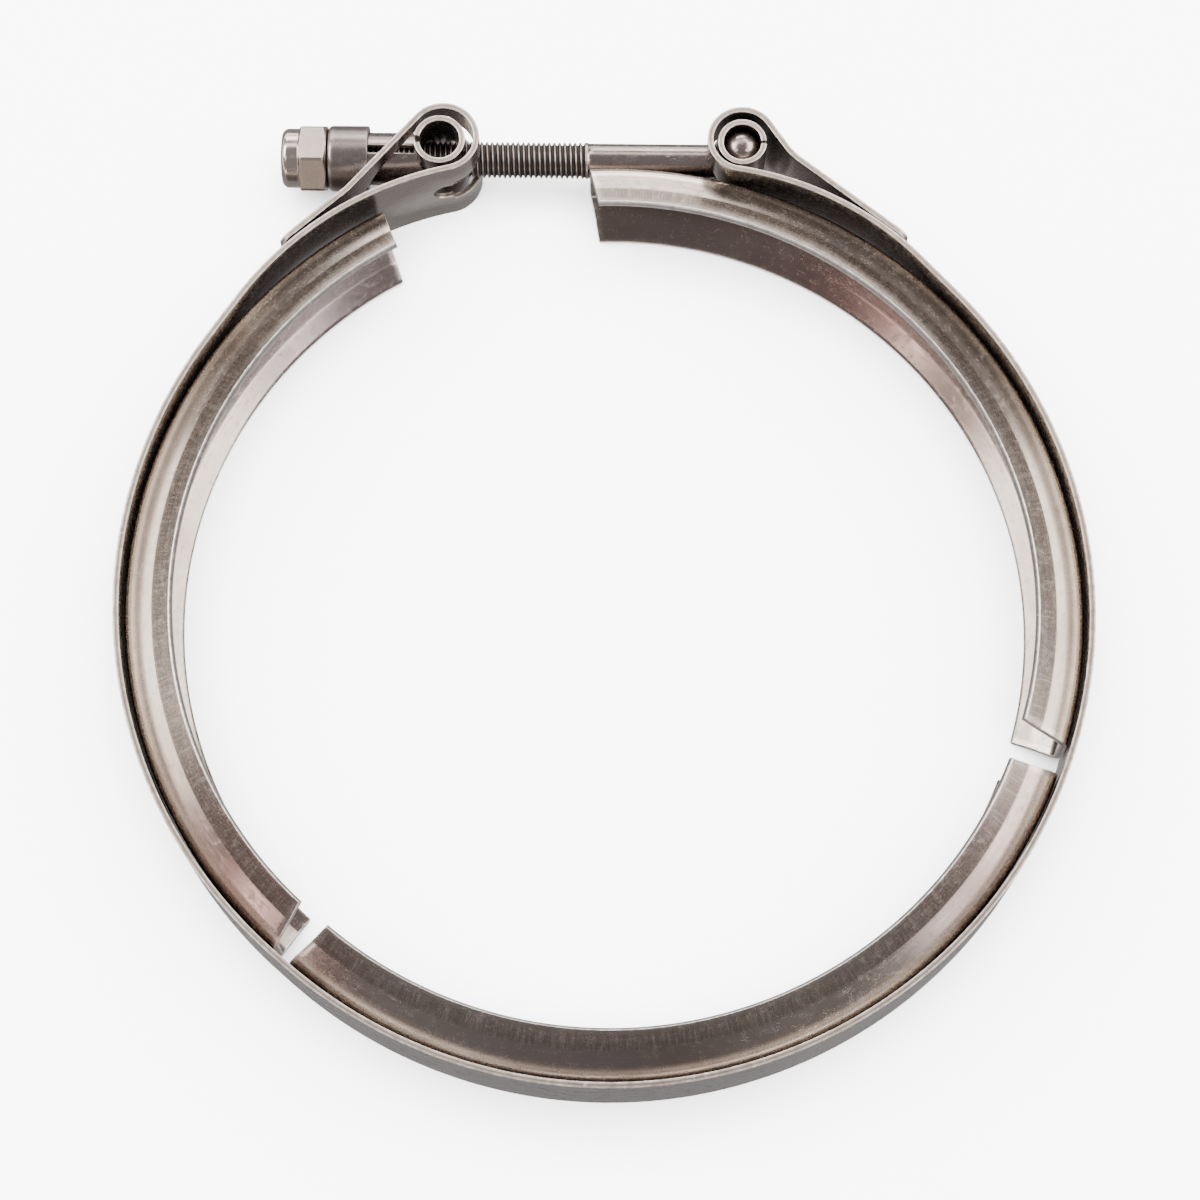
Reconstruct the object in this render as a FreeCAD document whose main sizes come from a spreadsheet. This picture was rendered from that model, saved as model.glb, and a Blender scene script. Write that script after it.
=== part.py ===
"""T-bolt V-band clamp: a folded strap, three V retainers, a T-bolt with its lock nut and a trunnion.

The ring's axis is +Z and the clamp lies flat, with the bolt on the +Y side.  The origin is the ring's
centre at mid width.  The clamp is drawn closed, as a round ring, and its two arms are then turned
open about the bare stretches of strap between the retainers, where the real band flexes.
"""
import FreeCAD, Part
import Sketcher
import math
import os

os.makedirs("parts", exist_ok=True)
doc = FreeCAD.newDocument("VBandClamp")

# ---------------------------------------------------------------------------------- dimensions
# Millimetres and degrees.  Angles round the ring are counted from +X towards +Y.
SIZES = [
    ("ring_radius", 80.2, "outside of the strap when the ring is closed"),
    ("strap_thickness", 1.0, "strap sheet"),
    ("strap_width", 19.05, "strap, along the ring's axis"),
    ("middle_angle", 284.0, "direction of the middle retainer's centre"),
    ("retainer_sweep", 110.6, "each retainer, measured at its web"),
    ("left_gap", 2.3, "bare strap between the middle and left retainers"),
    ("right_gap", 3.4, "bare strap between the middle and right retainers"),
    ("left_opening", 2.1, "how far the left arm is sprung open"),
    ("right_opening", 0.54, "how far the right arm is sprung open"),
    ("retainer_seat", 0.2, "clearance between strap and retainer web"),
    ("retainer_sheet", 1.3, "retainer sheet"),
    ("web_width", 10.7, "V section, between the sharp web corners"),
    ("flank_angle", 22.0, "upper flank, from the ring's radius"),
    ("lip_angle", 31.0, "flared lip, from the ring's radius"),
    ("flank_depth", 5.0, "from the web's outside in to where the flank turns into the lip"),
    ("lip_depth", 3.6, "from there in to the clamping edge"),
    ("lip_land", 0.5, "flat on the lip's inner corner"),
    ("web_bend", 1.3, "inside bend between web and flank"),
    ("lip_setback", 1.1, "how far the lips end before the web, each end"),
    ("left_lift_sweep", 37.1, "where the strap leaves the left retainer, back from its loop"),
    ("right_lift_sweep", 31.5, "where the strap leaves the right retainer, back from its loop"),
    ("lift_run", 8.2, "straight stretch where it leaves"),
    ("left_loop_lift", 0.25, "strap off the ring at the left loop"),
    ("right_loop_lift", 0.15, "strap off the ring at the right loop"),
    ("left_loop_radius", 5.3, "inside of the left loop"),
    ("right_loop_radius", 5.0, "inside of the right loop"),
    ("left_loop_angle", 106.42, "direction of the left loop"),
    ("right_loop_angle", 74.7, "direction of the right loop"),
    ("tail_sweep", 22.4, "from a loop's foot to its welded tail's end"),
    ("left_tail_rise", 1.7, "inside of the left tail's end off the ring"),
    ("right_tail_rise", 1.05, "inside of the right tail's end off the ring"),
    ("left_tail_kink", 7.5, "turn that lays the left tail back on the strap"),
    ("right_tail_kink", 17.5, "turn that lays the right tail back on the strap"),
    ("tail_bend", 9.0, "radius of that turn"),
    ("tail_corner", 2.0, "rounded corners of the tail's end"),
    ("bolt_slot", 7.2, "strap slot where the bolt comes out"),
    ("arm_slot", 12.0, "strap slot round the trunnion's arms"),
    ("slot_tip", 4.8, "narrow end of the left loop's slot"),
    ("slot_tip_reach", 1.4, "how far that end runs back past the barrel's centre"),
    ("bolt_slot_start", 2.0, "from the barrel's centre to the full-width slot"),
    ("bolt_slot_height", 8.8, "slot in the right loop, round its bend"),
    ("arm_slot_reach", 11.5, "down the left tail from its loop"),
    ("thread_diameter", 6.35, "T-bolt thread, 28 to the inch"),
    ("shank_diameter", 6.0, "plain shank"),
    ("shank_length", 26.6, "from the T head's centre to the thread"),
    ("tip_recess", 1.04, "the bolt's tip inside the nut's end"),
    ("bolt_chamfer", 0.8, "tip of the bolt"),
    ("head_diameter", 6.2, "cross bar of the T head"),
    ("head_length", 17.0, "cross bar of the T head, over its domes"),
    ("head_dome", 2.8, "rounding of the cross bar's ends"),
    ("head_play", 0.12, "cross bar in its sleeve"),
    ("sleeve_wall", 1.0, "both rolled sleeves"),
    ("sleeve_length", 18.0, "both rolled sleeves"),
    ("sleeve_seam", 0.5, "open seam of the bolt's sleeve"),
    ("left_sleeve_play", 1.05, "trunnion's barrel above the strap"),
    ("right_sleeve_play", 0.62, "bolt's sleeve above the strap"),
    ("bolt_sleeve_shift", 0.55, "bolt's sleeve off the loop's middle, drawn towards the nut"),
    ("barrel_bore", 6.9, "inside of the trunnion's barrel"),
    ("bolt_play", 0.45, "bolt in the trunnion and the cup"),
    ("arm_wall", 0.95, "trunnion's arms"),
    ("arm_length", 18.6, "trunnion's arms, from the barrel's centre"),
    ("arm_slit", 1.3, "slit between the two arms"),
    ("cup_length", 7.2, "cup on the arms"),
    ("cup_wall", 1.1, "side wall of the cup"),
    ("cup_floor", 1.2, "end wall that the nut bears on"),
    ("cup_shoulder", 1.9, "rounded shoulder of the cup"),
    ("cup_fit", 0.03, "arms in the cup"),
    ("cup_play", 0.2, "arms and cup past the strap's slot"),
    ("nut_gap", 0.05, "nut to cup, run down by hand"),
    ("nut_flats", 11.11, "across the flats"),
    ("nut_turn", -5.5, "one corner of the hexagon, from +Y"),
    ("nut_hex_length", 4.9, "hexagon"),
    ("nut_length", 7.9, "whole nut"),
    ("nut_collar", 10.3, "round collar over the locking ring"),
    ("collar_round", 1.5, "rounding of that collar"),
    ("thread_play", 0.06, "nut on the bolt"),
    ("ring_pocket", 8.9, "groove that holds the locking ring"),
    ("ring_length", 2.2, "locking ring"),
    ("ring_lip", 0.7, "crimped edge that keeps the ring in"),
    ("ring_play", 0.05, "locking ring in its groove"),
]
sheet = doc.addObject("Spreadsheet::Sheet", "Dimensions")


def write_row(row, alias, value, note):
    """One line of the sheet: name, value and what it measures."""
    sheet.set("A%d" % row, alias)
    sheet.set("B%d" % row, str(value))
    sheet.set("C%d" % row, note)
    sheet.setAlias("B%d" % row, alias)


for row, (alias, value, note) in enumerate(SIZES, start=1):
    write_row(row, alias, value, note)
doc.recompute()


def named(expression):
    """Writes each size's name in full, as an expression on the sheet needs it."""
    return expression.replace("<", "Dimensions.").replace(">", "")


def size(expression):
    """The number that an expression on the sheet comes to."""
    return float(sheet.evalExpression(named(expression)))


# ---------------------------------------------------------------------------------- shared steps
def new_body(label):
    body = doc.addObject("PartDesign::Body", label)
    body.Label = label
    return body


def plane_of(body, role):
    return [item for item in body.Origin.OriginFeatures if item.Role == role][0]


def new_sketch(body, name, role):
    sketch = body.newObject("Sketcher::SketchObject", name)
    sketch.AttachmentSupport = [(plane_of(body, role), "")]
    sketch.MapMode = "FlatFace"
    return sketch


def add_bound(sketch, constraint, expression):
    index = sketch.addConstraint(constraint)
    sketch.setExpression("Constraints[%d]" % index, named(expression))


def add_outline(sketch, corners):
    """A closed outline of straight lines; every corner is placed by two expressions."""
    places = [FreeCAD.Vector(size(x), size(y), 0) for x, y in corners]
    first = sketch.GeometryCount
    for index, start in enumerate(places):
        end = places[(index + 1) % len(places)]
        sketch.addGeometry(Part.LineSegment(start, end), False)
    for index, (x, y) in enumerate(corners):
        line = first + index
        before = first + (index - 1) % len(corners)
        sketch.addConstraint(Sketcher.Constraint("Coincident", before, 2, line, 1))
        add_bound(sketch, Sketcher.Constraint("DistanceX", -1, 1, line, 1, places[index].x), x)
        add_bound(sketch, Sketcher.Constraint("DistanceY", -1, 1, line, 1, places[index].y), y)


def add_circle(sketch, radius):
    """A circle on the sketch's origin."""
    start = Part.Circle(FreeCAD.Vector(0, 0, 0), FreeCAD.Vector(0, 0, 1), size(radius))
    circle = sketch.addGeometry(start, False)
    sketch.addConstraint(Sketcher.Constraint("Coincident", circle, 3, -1, 1))
    add_bound(sketch, Sketcher.Constraint("Radius", circle, size(radius)), radius)


def add_pad(body, name, sketch, length, symmetric=True, backwards=False):
    pad = body.newObject("PartDesign::Pad", name)
    pad.Profile = sketch
    pad.Length = size(length)
    pad.setExpression("Length", named(length))
    pad.Midplane = symmetric
    pad.Reversed = backwards
    doc.recompute()
    return pad


def add_pocket(body, name, sketch, length, symmetric=True, backwards=False):
    """A pocket that has to take material away."""
    before = body.Shape.Volume
    pocket = body.newObject("PartDesign::Pocket", name)
    pocket.Profile = sketch
    pocket.Length = size(length)
    pocket.setExpression("Length", named(length))
    pocket.Midplane = symmetric
    pocket.Reversed = backwards
    doc.recompute()
    if body.Shape.Volume > before - 1e-3:
        raise RuntimeError(name + " cuts nothing")
    return pocket


def add_turned(body, kind, name, sketch, axis, sweep="360"):
    """A revolution or a groove about one of the sketch's own axes, even on both sides of it."""
    turned = body.newObject("PartDesign::" + kind, name)
    turned.Profile = sketch
    turned.ReferenceAxis = (sketch, [axis])
    turned.Angle = size(sweep)
    turned.setExpression("Angle", named(sweep))
    turned.Midplane = True
    doc.recompute()
    return turned


def add_fillet(body, name, base, radius, wanted):
    """Rounds the edges of base that the test picks out."""
    edges = ["Edge%d" % (i + 1) for i, edge in enumerate(base.Shape.Edges) if wanted(edge)]
    fillet = body.newObject("PartDesign::Fillet", name)
    fillet.Base = (base, edges)
    fillet.Radius = size(radius)
    fillet.setExpression("Radius", named(radius))
    doc.recompute()
    return fillet


def round_edge(edge, radius):
    return isinstance(edge.Curve, Part.Circle) and abs(edge.Curve.Radius - radius) < 1e-4


def polar(radius, angle, centre=(0.0, 0.0)):
    turn = math.radians(angle)
    return FreeCAD.Vector(centre[0] + radius * math.cos(turn), centre[1] + radius * math.sin(turn), 0)


# ---------------------------------------------------------------------------------- closed and open
middleStart = size("<middle_angle> - <retainer_sweep> / 2")
middleEnd = size("<middle_angle> + <retainer_sweep> / 2")
strapMiddle = size("<ring_radius> - <strap_thickness> / 2")


class Arm:
    """One side of the ring: which way it runs from its hinge, and how it is turned open."""

    def __init__(self, label, towards, hingeSide):
        self.label = label
        gap, opening = self.own("gap"), self.own("opening")
        self.loopRadius = self.own("loop_radius")
        self.towards = towards
        self.gap = gap
        self.opening = opening
        self.loopAngle = self.own("loop_angle") + (360 if towards > 0 else 0)
        self.near = hingeSide
        self.far = hingeSide + towards * gap
        self.hinge = polar(strapMiddle, hingeSide + towards * gap / 2)
        self.centreAngle = self.far + towards * size("<retainer_sweep> / 2")
        self.placement = FreeCAD.Placement(
            FreeCAD.Vector(), FreeCAD.Rotation(FreeCAD.Vector(0, 0, 1), -towards * opening), self.hinge)

    def own(self, name):
        """A size that each arm has for itself."""
        return size("<%s_%s>" % (self.label, name))

    def moved(self, point):
        """Carries a point of the closed ring to where the open arm holds it."""
        return self.placement.multVec(point)


left = Arm("left", -1, middleStart)
right = Arm("right", 1, middleEnd)

barrelRadius = "(<barrel_bore> / 2 + <sleeve_wall>)"
boltSleeveBore = "(<head_diameter> / 2 + <head_play>)"
boltSleeveRadius = "(" + boltSleeveBore + " + <sleeve_wall>)"
boltWay = "(<thread_diameter> / 2 + <bolt_play>)"
armRadius = "(" + boltWay + " + <arm_wall>)"
cupBore = "(" + armRadius + " + <cup_fit>)"
cupRadius = "(" + cupBore + " + <cup_wall>)"
cupFace = "(<arm_length> + <cup_fit> + <cup_floor>)"
cupMouth = "(" + cupFace + " - <cup_length>)"
boltLength = "(<hinge_distance> + " + cupFace + " + <nut_gap> + <nut_length> - <tip_recess>)"
trunnionCentre = left.moved(polar(size("<ring_radius> + <left_sleeve_play> + " + barrelRadius),
                                   left.loopAngle))
sleeveShift = polar(size("<bolt_sleeve_shift>"), right.loopAngle + 90)
headCentre = right.moved(sleeveShift + polar(
    size("<ring_radius> + <right_sleeve_play> + " + boltSleeveRadius), right.loopAngle))
boltLine = trunnionCentre - headCentre
write_row(len(SIZES) + 1, "hinge_distance", boltLine.Length, "from the T head's centre to the barrel's")
doc.recompute()
boltTurn = math.degrees(math.atan2(boltLine.y, boltLine.x)) - 180
boltFrame = FreeCAD.Placement(headCentre, FreeCAD.Rotation(FreeCAD.Vector(0, 0, 1), boltTurn))
trunnionFrame = FreeCAD.Placement(trunnionCentre, FreeCAD.Rotation(FreeCAD.Vector(0, 0, 1), boltTurn))


# ---------------------------------------------------------------------------------- strap
class Strip:
    """A bent strip seen edge on: two faces, each half a thickness off the middle line."""

    def __init__(self, thickness):
        self.half = thickness / 2
        self.faces = ([], [])

    def line(self, start, end):
        along = (end - start).normalize()
        for edges, offset in zip(self.faces, (self.half, -self.half)):
            side = FreeCAD.Vector(-along.y, along.x, 0) * offset
            edges.append(Part.LineSegment(start + side, end + side).toShape())

    def arc(self, centre, radius, start, end, outwards=None):
        """From one angle to another about a centre; outwards is the first face's side of it."""
        outwards = outwards or (1 if end < start else -1)
        for edges, offset in zip(self.faces, (outwards * self.half, -outwards * self.half)):
            places = [polar(radius + offset, angle, centre) for angle in (start, (start + end) / 2, end)]
            edges.append(Part.Arc(*places).toShape())

    def solid(self, width):
        corners = []
        for edges in self.faces:
            corners.append(edges[0].valueAt(edges[0].FirstParameter))
            corners.append(edges[-1].valueAt(edges[-1].LastParameter))
        caps = [Part.LineSegment(corners[0], corners[2]).toShape(),
                Part.LineSegment(corners[1], corners[3]).toShape()]
        outline = Part.Wire(Part.__sortEdges__(self.faces[0] + self.faces[1] + caps))
        face = Part.Face(outline)
        face.translate(FreeCAD.Vector(0, 0, -width / 2))
        return face.extrude(FreeCAD.Vector(0, 0, width))


class Lift:
    """The stretch before a loop: it runs straight off the ring, then bends back down to it."""

    def __init__(self, arm):
        side = arm.towards
        self.arm = arm
        self.startAngle = arm.loopAngle - side * arm.own("lift_sweep")
        self.start = polar(strapMiddle, self.startAngle)
        heading = self.startAngle + side * 90
        self.top = self.start + polar(size("<lift_run>"), heading)
        self.foot = polar(strapMiddle + arm.own("loop_lift"), arm.loopAngle)
        chord = self.foot - self.top
        half = (math.degrees(math.atan2(chord.y, chord.x)) - heading + 180) % 360 - 180
        self.radius = chord.Length / 2 / math.sin(math.radians(abs(half)))
        self.centre = self.top + polar(self.radius, heading + side * 90)
        self.angles = (heading - side * 90, heading - side * 90 + 2 * half)
        self.heading = heading + 2 * half

    def draw(self, strip, towardsLoop):
        arm, opened = self.arm, -self.arm.towards * self.arm.opening
        start, end = (angle + opened for angle in self.angles)
        if towardsLoop:
            strip.line(arm.moved(self.start), arm.moved(self.top))
            strip.arc(arm.moved(self.centre), self.radius, start, end)
        else:
            strip.arc(arm.moved(self.centre), self.radius, end, start)
            strip.line(arm.moved(self.top), arm.moved(self.start))


class Tail:
    """Middle line of one loop and its welded tail, in the closed ring."""

    def __init__(self, arm, lift):
        side = arm.towards
        self.arm = arm
        self.bend = arm.loopRadius + size("<strap_thickness> / 2")
        self.kink = size("<tail_bend>")
        outwards = lift.heading - side * 90
        self.loop = lift.foot + polar(self.bend, outwards)
        tipAngle = arm.loopAngle - side * size("<tail_sweep>")
        self.tip = polar(size("<ring_radius> + <strap_thickness> / 2") + arm.own("tail_rise"), tipAngle)
        self.flatHeading = tipAngle + side * 90
        self.steepHeading = self.flatHeading - side * arm.own("tail_kink")
        self.touchAngle = self.steepHeading - side * 90
        self.footAngle = outwards + side * 180
        self.touch = polar(self.bend, self.touchAngle, self.loop)
        flat, steep = polar(1, self.flatHeading), polar(1, self.steepHeading)
        across = self.touch - self.tip
        reach = (across.x * steep.y - across.y * steep.x) / (flat.x * steep.y - flat.y * steep.x)
        corner = self.tip + flat * reach
        setback = self.kink * math.tan(math.radians(arm.own("tail_kink") / 2))
        self.low = corner - flat * setback
        self.high = corner + steep * setback
        self.kinkCentre = self.low + polar(self.kink, self.flatHeading - side * 90)

    def draw(self, strip, towardsTip):
        arm, opened = self.arm, -self.arm.towards * self.arm.opening
        back = arm.towards * 90 + opened
        steps = [
            (self.loop, self.bend, self.footAngle + opened, self.touchAngle + opened),
            (self.touch, self.high),
            (self.kinkCentre, self.kink, self.steepHeading + back, self.flatHeading + back),
            (self.low, self.tip),
        ]
        for step in steps if towardsTip else reversed(steps):
            if len(step) == 2:
                start, end = step if towardsTip else (step[1], step[0])
                strip.line(arm.moved(start), arm.moved(end))
            else:
                centre, radius, start, end = step
                if not towardsTip:
                    start, end = end, start
                strip.arc(arm.moved(centre), radius, start, end)


def draw_ring(strip, arm, start, end):
    """A stretch of ring that an arm carries, turned open with it."""
    opened = -arm.towards * arm.opening
    strip.arc(arm.moved(FreeCAD.Vector()), strapMiddle, start + opened, end + opened)


def draw_gap(strip, arm, fromArm):
    """The bare stretch that flexes: it takes up what the opening leaves of its bend."""
    turn = arm.gap - arm.opening
    near = polar(strapMiddle, arm.near)
    far = arm.moved(polar(strapMiddle, arm.far))
    if abs(turn) < 0.01:
        strip.line(*((far, near) if fromArm else (near, far)))
        return
    radius = (far - near).Length / 2 / math.sin(math.radians(turn / 2))
    centre = near - polar(radius, arm.near)
    angles = [arm.near, arm.near + arm.towards * turn]
    if fromArm:
        angles.reverse()
    strip.arc(centre, radius, angles[0], angles[1], 1)


def cylinder_along(radius, length, base, direction):
    return Part.makeCylinder(radius, length, base, direction)


def box_between(lowest, highest):
    extent = highest - lowest
    return Part.makeBox(extent.x, extent.y, extent.z, lowest)


def left_slot(tail):
    """Wide round the arms and over the loop, bolt-wide on the far side, narrow at its end."""
    reach = 2 * left.loopRadius
    start, tip = size("<bolt_slot_start>"), size("<slot_tip> / 2")
    bolt, arms = size("<bolt_slot> / 2"), size("<arm_slot> / 2")
    tipCentre = tip - size("<slot_tip_reach>")
    low = -reach
    cuts = [
        box_between(FreeCAD.Vector(start, -reach, -bolt), FreeCAD.Vector(reach, reach, bolt)),
        box_between(FreeCAD.Vector(tipCentre, low, -tip), FreeCAD.Vector(start + tip, 0, tip)),
        cylinder_along(tip, reach, FreeCAD.Vector(tipCentre, low, 0), FreeCAD.Vector(0, 1, 0)),
        box_between(FreeCAD.Vector(-bolt, bolt / 2, -arms), FreeCAD.Vector(start, reach, arms)),
    ]
    local = cuts[0].multiFuse(cuts[1:])
    local.Placement = trunnionFrame
    # down the tail: a straight part and a round end, square to the tail's own face
    heading = tail.steepHeading - tail.arm.towards * tail.arm.opening
    down, out = polar(-1, heading), polar(1, heading - tail.arm.towards * 90)
    depth = size("2 * <strap_thickness>")
    straight = size("<arm_slot_reach>") - arms
    touch = tail.arm.moved(tail.touch)
    run = Part.makeBox(straight + depth, 2 * depth, 2 * arms, FreeCAD.Vector(-depth, -depth, -arms))
    run.Placement = FreeCAD.Placement(touch, FreeCAD.Rotation(FreeCAD.Vector(0, 0, 1), heading + 180))
    end = cylinder_along(arms, 2 * depth, touch + down * straight - out * depth, out)
    return local.multiFuse([run, end])


def right_slot():
    """An upright slot where the shank comes out of the right loop."""
    half = size("<bolt_slot> / 2")
    rise = size("<bolt_slot_height> / 2") - half
    depth = 2 * right.loopRadius
    along = FreeCAD.Vector(1, 0, 0)
    cuts = [box_between(FreeCAD.Vector(-depth, -rise, -half), FreeCAD.Vector(0, rise, half))]
    for height in (-rise, rise):
        cuts.append(cylinder_along(half, depth, FreeCAD.Vector(-depth, height, 0), along))
    slot = cuts[0].multiFuse(cuts[1:])
    slot.Placement = boltFrame
    return slot


def trunnion_room():
    """Where the arms, the cup and the nut stand: nothing of the strap may reach into it."""
    back = FreeCAD.Vector(-1, 0, 0)
    arms = cylinder_along(size(armRadius + " + <cup_play>"), size(cupFace), FreeCAD.Vector(), back)
    cup = cylinder_along(size(cupRadius + " + <cup_play>"), size("<cup_length> + <nut_length>"),
                         FreeCAD.Vector(size("-" + cupMouth), 0, 0), back)
    room = arms.fuse(cup)
    room.Placement = trunnionFrame
    return room


def make_strap():
    strip = Strip(size("<strap_thickness>"))
    leftLift, rightLift = Lift(left), Lift(right)
    leftTail, rightTail = Tail(left, leftLift), Tail(right, rightLift)
    rightTail.draw(strip, False)
    rightLift.draw(strip, False)
    draw_ring(strip, right, rightLift.startAngle, right.far)
    draw_gap(strip, right, True)
    strip.arc(FreeCAD.Vector(), strapMiddle, middleEnd, middleStart)
    draw_gap(strip, left, False)
    draw_ring(strip, left, left.far, leftLift.startAngle)
    leftLift.draw(strip, True)
    leftTail.draw(strip, True)
    solid = strip.solid(size("<strap_width>"))
    tips = []
    for tail in (rightTail, leftTail):
        tip = tail.arm.moved(tail.tip)
        for edge in solid.Edges:
            middle = (edge.BoundBox.Center - tip)
            short = edge.Length < size("1.5 * <strap_thickness>")
            if short and math.hypot(middle.x, middle.y) < size("<strap_thickness>"):
                tips.append(edge)
    solid = solid.makeFillet(size("<tail_corner>"), tips)
    solid = solid.cut(left_slot(leftTail)).cut(trunnion_room()).cut(right_slot())
    strap = doc.addObject("Part::Feature", "strap")
    strap.Label = "strap"
    strap.Shape = solid.Solids[0] if len(solid.Solids) == 1 else solid
    return strap


# ---------------------------------------------------------------------------------- V retainers
webRadius = "(<ring_radius> - <strap_thickness> - <retainer_seat>)"
webHalf = "(<web_width> / 2)"
creaseRadius = "(" + webRadius + " - <flank_depth>)"
lipRadius = "(" + creaseRadius + " - <lip_depth>)"
creaseHeight = "(" + webHalf + " + (" + webRadius + " - " + creaseRadius + ") * tan(<flank_angle>))"
lipCut = "(<lip_land> * sin(<lip_angle>) * cos(<lip_angle>))"
lipOuter = "(" + lipRadius + " - " + lipCut + " + <retainer_sheet> * sin(<lip_angle>))"
lipHeight = "(" + creaseHeight + " + (" + creaseRadius + " - " + lipOuter + ") * tan(<lip_angle>))"
creaseShare = "(<retainer_sheet> / (1 + cos(<lip_angle> - <flank_angle>)))"
cornerHeight = "(" + lipHeight + " - <retainer_sheet> * cos(<lip_angle>))"


def retainer_section():
    """Half of the V section from the web's middle out to the lip and back, radius and height."""
    outside = [
        (webRadius, webHalf),
        (creaseRadius, creaseHeight),
        (lipOuter, lipHeight),
        (lipRadius, cornerHeight + " + " + lipCut + " / tan(<lip_angle>)"),
    ]
    inside = [
        (lipRadius, cornerHeight + " - " + lipCut + " * tan(<lip_angle>)"),
        (creaseRadius + " - " + creaseShare + " * (sin(<flank_angle>) + sin(<lip_angle>))",
         creaseHeight + " - " + creaseShare + " * (cos(<flank_angle>) + cos(<lip_angle>))"),
        (webRadius + " - <retainer_sheet>",
         webHalf + " - <retainer_sheet> * (1 - sin(<flank_angle>)) / cos(<flank_angle>)"),
    ]
    upper = outside + inside
    lower = [(radius, "-(" + height + ")") for radius, height in reversed(upper)]
    return upper + lower


def end_trims(sketch):
    """Both ends are cut straight across, from the web back to the set-back lips."""
    half = "(<retainer_sweep> / 2)"
    lip = "(<retainer_sweep> / 2 - <lip_setback>)"
    web = (webRadius + " * cos" + half, webRadius + " * sin" + half)
    inner = (lipRadius + " * cos" + lip, lipRadius + " * sin" + lip)
    waste = "(4 * <lip_setback>)"
    for side in ("", "-"):
        corners = []
        for near, far in ((web, inner), (inner, web)):
            corners.append(("1.5 * " + near[0] + " - 0.5 * " + far[0],
                            "1.5 * " + near[1] + " - 0.5 * " + far[1]))
        for x, y in reversed(corners[:]):
            corners.append((x + " - " + waste + " * sin" + half, y + " + " + waste + " * cos" + half))
        add_outline(sketch, [(x, side + "(" + y + ")") for x, y in corners])


def make_retainer(label, angle, placement):
    body = new_body(label)
    section = new_sketch(body, label + "_section", "XZ_Plane")
    add_outline(section, retainer_section())
    turned = add_turned(body, "Revolution", label + "_turned", section, "V_Axis",
                        "<retainer_sweep> + <lip_setback>")
    web = size(webRadius)
    inner = web - size("<retainer_sheet>")
    outerBend = add_fillet(body, label + "_outer_bends", turned, "<web_bend> + <retainer_sheet>",
                           lambda edge: round_edge(edge, web))
    innerBend = add_fillet(body, label + "_inner_bends", outerBend, "<web_bend>",
                           lambda edge: round_edge(edge, inner))
    ends = new_sketch(body, label + "_ends", "XY_Plane")
    end_trims(ends)
    add_pocket(body, label + "_trimmed", ends, "2 * <strap_width>")
    body.Placement = placement.multiply(
        FreeCAD.Placement(FreeCAD.Vector(), FreeCAD.Rotation(FreeCAD.Vector(0, 0, 1), angle)))
    return body


# ---------------------------------------------------------------------------------- T-bolt
def make_bolt():
    """Cross bar along Z, shank and thread along -X."""
    body = new_body("t_bolt")
    bar = new_sketch(body, "bar_circle", "XY_Plane")
    add_circle(bar, "<head_diameter> / 2")
    head = add_pad(body, "bar", bar, "<head_length>")
    barRadius = size("<head_diameter> / 2")
    add_fillet(body, "bar_domes", head, "<head_dome>", lambda edge: round_edge(edge, barRadius))
    profile = new_sketch(body, "shank_profile", "XY_Plane")
    step = "(<thread_diameter> - <shank_diameter>)"
    add_outline(profile, [
        ("0", "0"),
        ("0", "<shank_diameter> / 2"),
        ("-<shank_length>", "<shank_diameter> / 2"),
        ("-<shank_length> - " + step, "<thread_diameter> / 2"),
        ("-" + boltLength + " + <bolt_chamfer>", "<thread_diameter> / 2"),
        ("-" + boltLength, "<thread_diameter> / 2 - <bolt_chamfer>"),
        ("-" + boltLength, "0"),
    ])
    add_turned(body, "Revolution", "shank", profile, "H_Axis")
    body.Placement = boltFrame
    return body


def make_bolt_sleeve():
    """Rolled tube round the cross bar: its seam faces away from the shank."""
    body = new_body("bolt_sleeve")
    tube = new_sketch(body, "sleeve_ring", "XY_Plane")
    add_circle(tube, boltSleeveRadius)
    add_circle(tube, boltSleeveBore)
    add_pad(body, "sleeve_tube", tube, "<sleeve_length>")
    seam = new_sketch(body, "sleeve_seam", "XY_Plane")
    add_outline(seam, [("0", "-<sleeve_seam> / 2"), ("2 * <head_diameter>", "-<sleeve_seam> / 2"),
                       ("2 * <head_diameter>", "<sleeve_seam> / 2"), ("0", "<sleeve_seam> / 2")])
    add_pocket(body, "sleeve_seam_cut", seam, "2 * <sleeve_length>")
    hole = new_sketch(body, "shank_hole", "YZ_Plane")
    add_circle(hole, "<shank_diameter> / 2 + <head_play>")
    add_pocket(body, "shank_hole_cut", hole, "2 * <head_diameter>", symmetric=False)
    body.Placement = boltFrame
    return body


# ---------------------------------------------------------------------------------- trunnion
def make_trunnion():
    """One rolled sheet: a split barrel along Z whose two ends run out as half-round arms along -X."""
    body = new_body("trunnion")
    disc = new_sketch(body, "barrel_circle", "XY_Plane")
    add_circle(disc, barrelRadius)
    add_pad(body, "barrel", disc, "<sleeve_length>")
    rod = new_sketch(body, "arm_circle", "YZ_Plane")
    add_circle(rod, armRadius)
    add_pad(body, "arms", rod, "<arm_length>", False, True)
    bore = new_sketch(body, "barrel_bore", "XY_Plane")
    add_circle(bore, "<barrel_bore> / 2")
    add_pocket(body, "barrel_bored", bore, "2 * <sleeve_length>")
    way = new_sketch(body, "bolt_way", "YZ_Plane")
    add_circle(way, boltWay)
    add_pocket(body, "bolt_way_cut", way, "3 * <arm_length>")
    slit = new_sketch(body, "arm_slit", "XZ_Plane")
    add_outline(slit, [("-<barrel_bore> / 4", "-<sleeve_length>"), ("-<barrel_bore> / 4", "<sleeve_length>"),
                       ("-2 * <arm_length>", "<sleeve_length>"), ("-2 * <arm_length>", "-<sleeve_length>")])
    add_pocket(body, "arm_slit_cut", slit, "<arm_slit>")
    body.Placement = trunnionFrame
    return body


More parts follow.
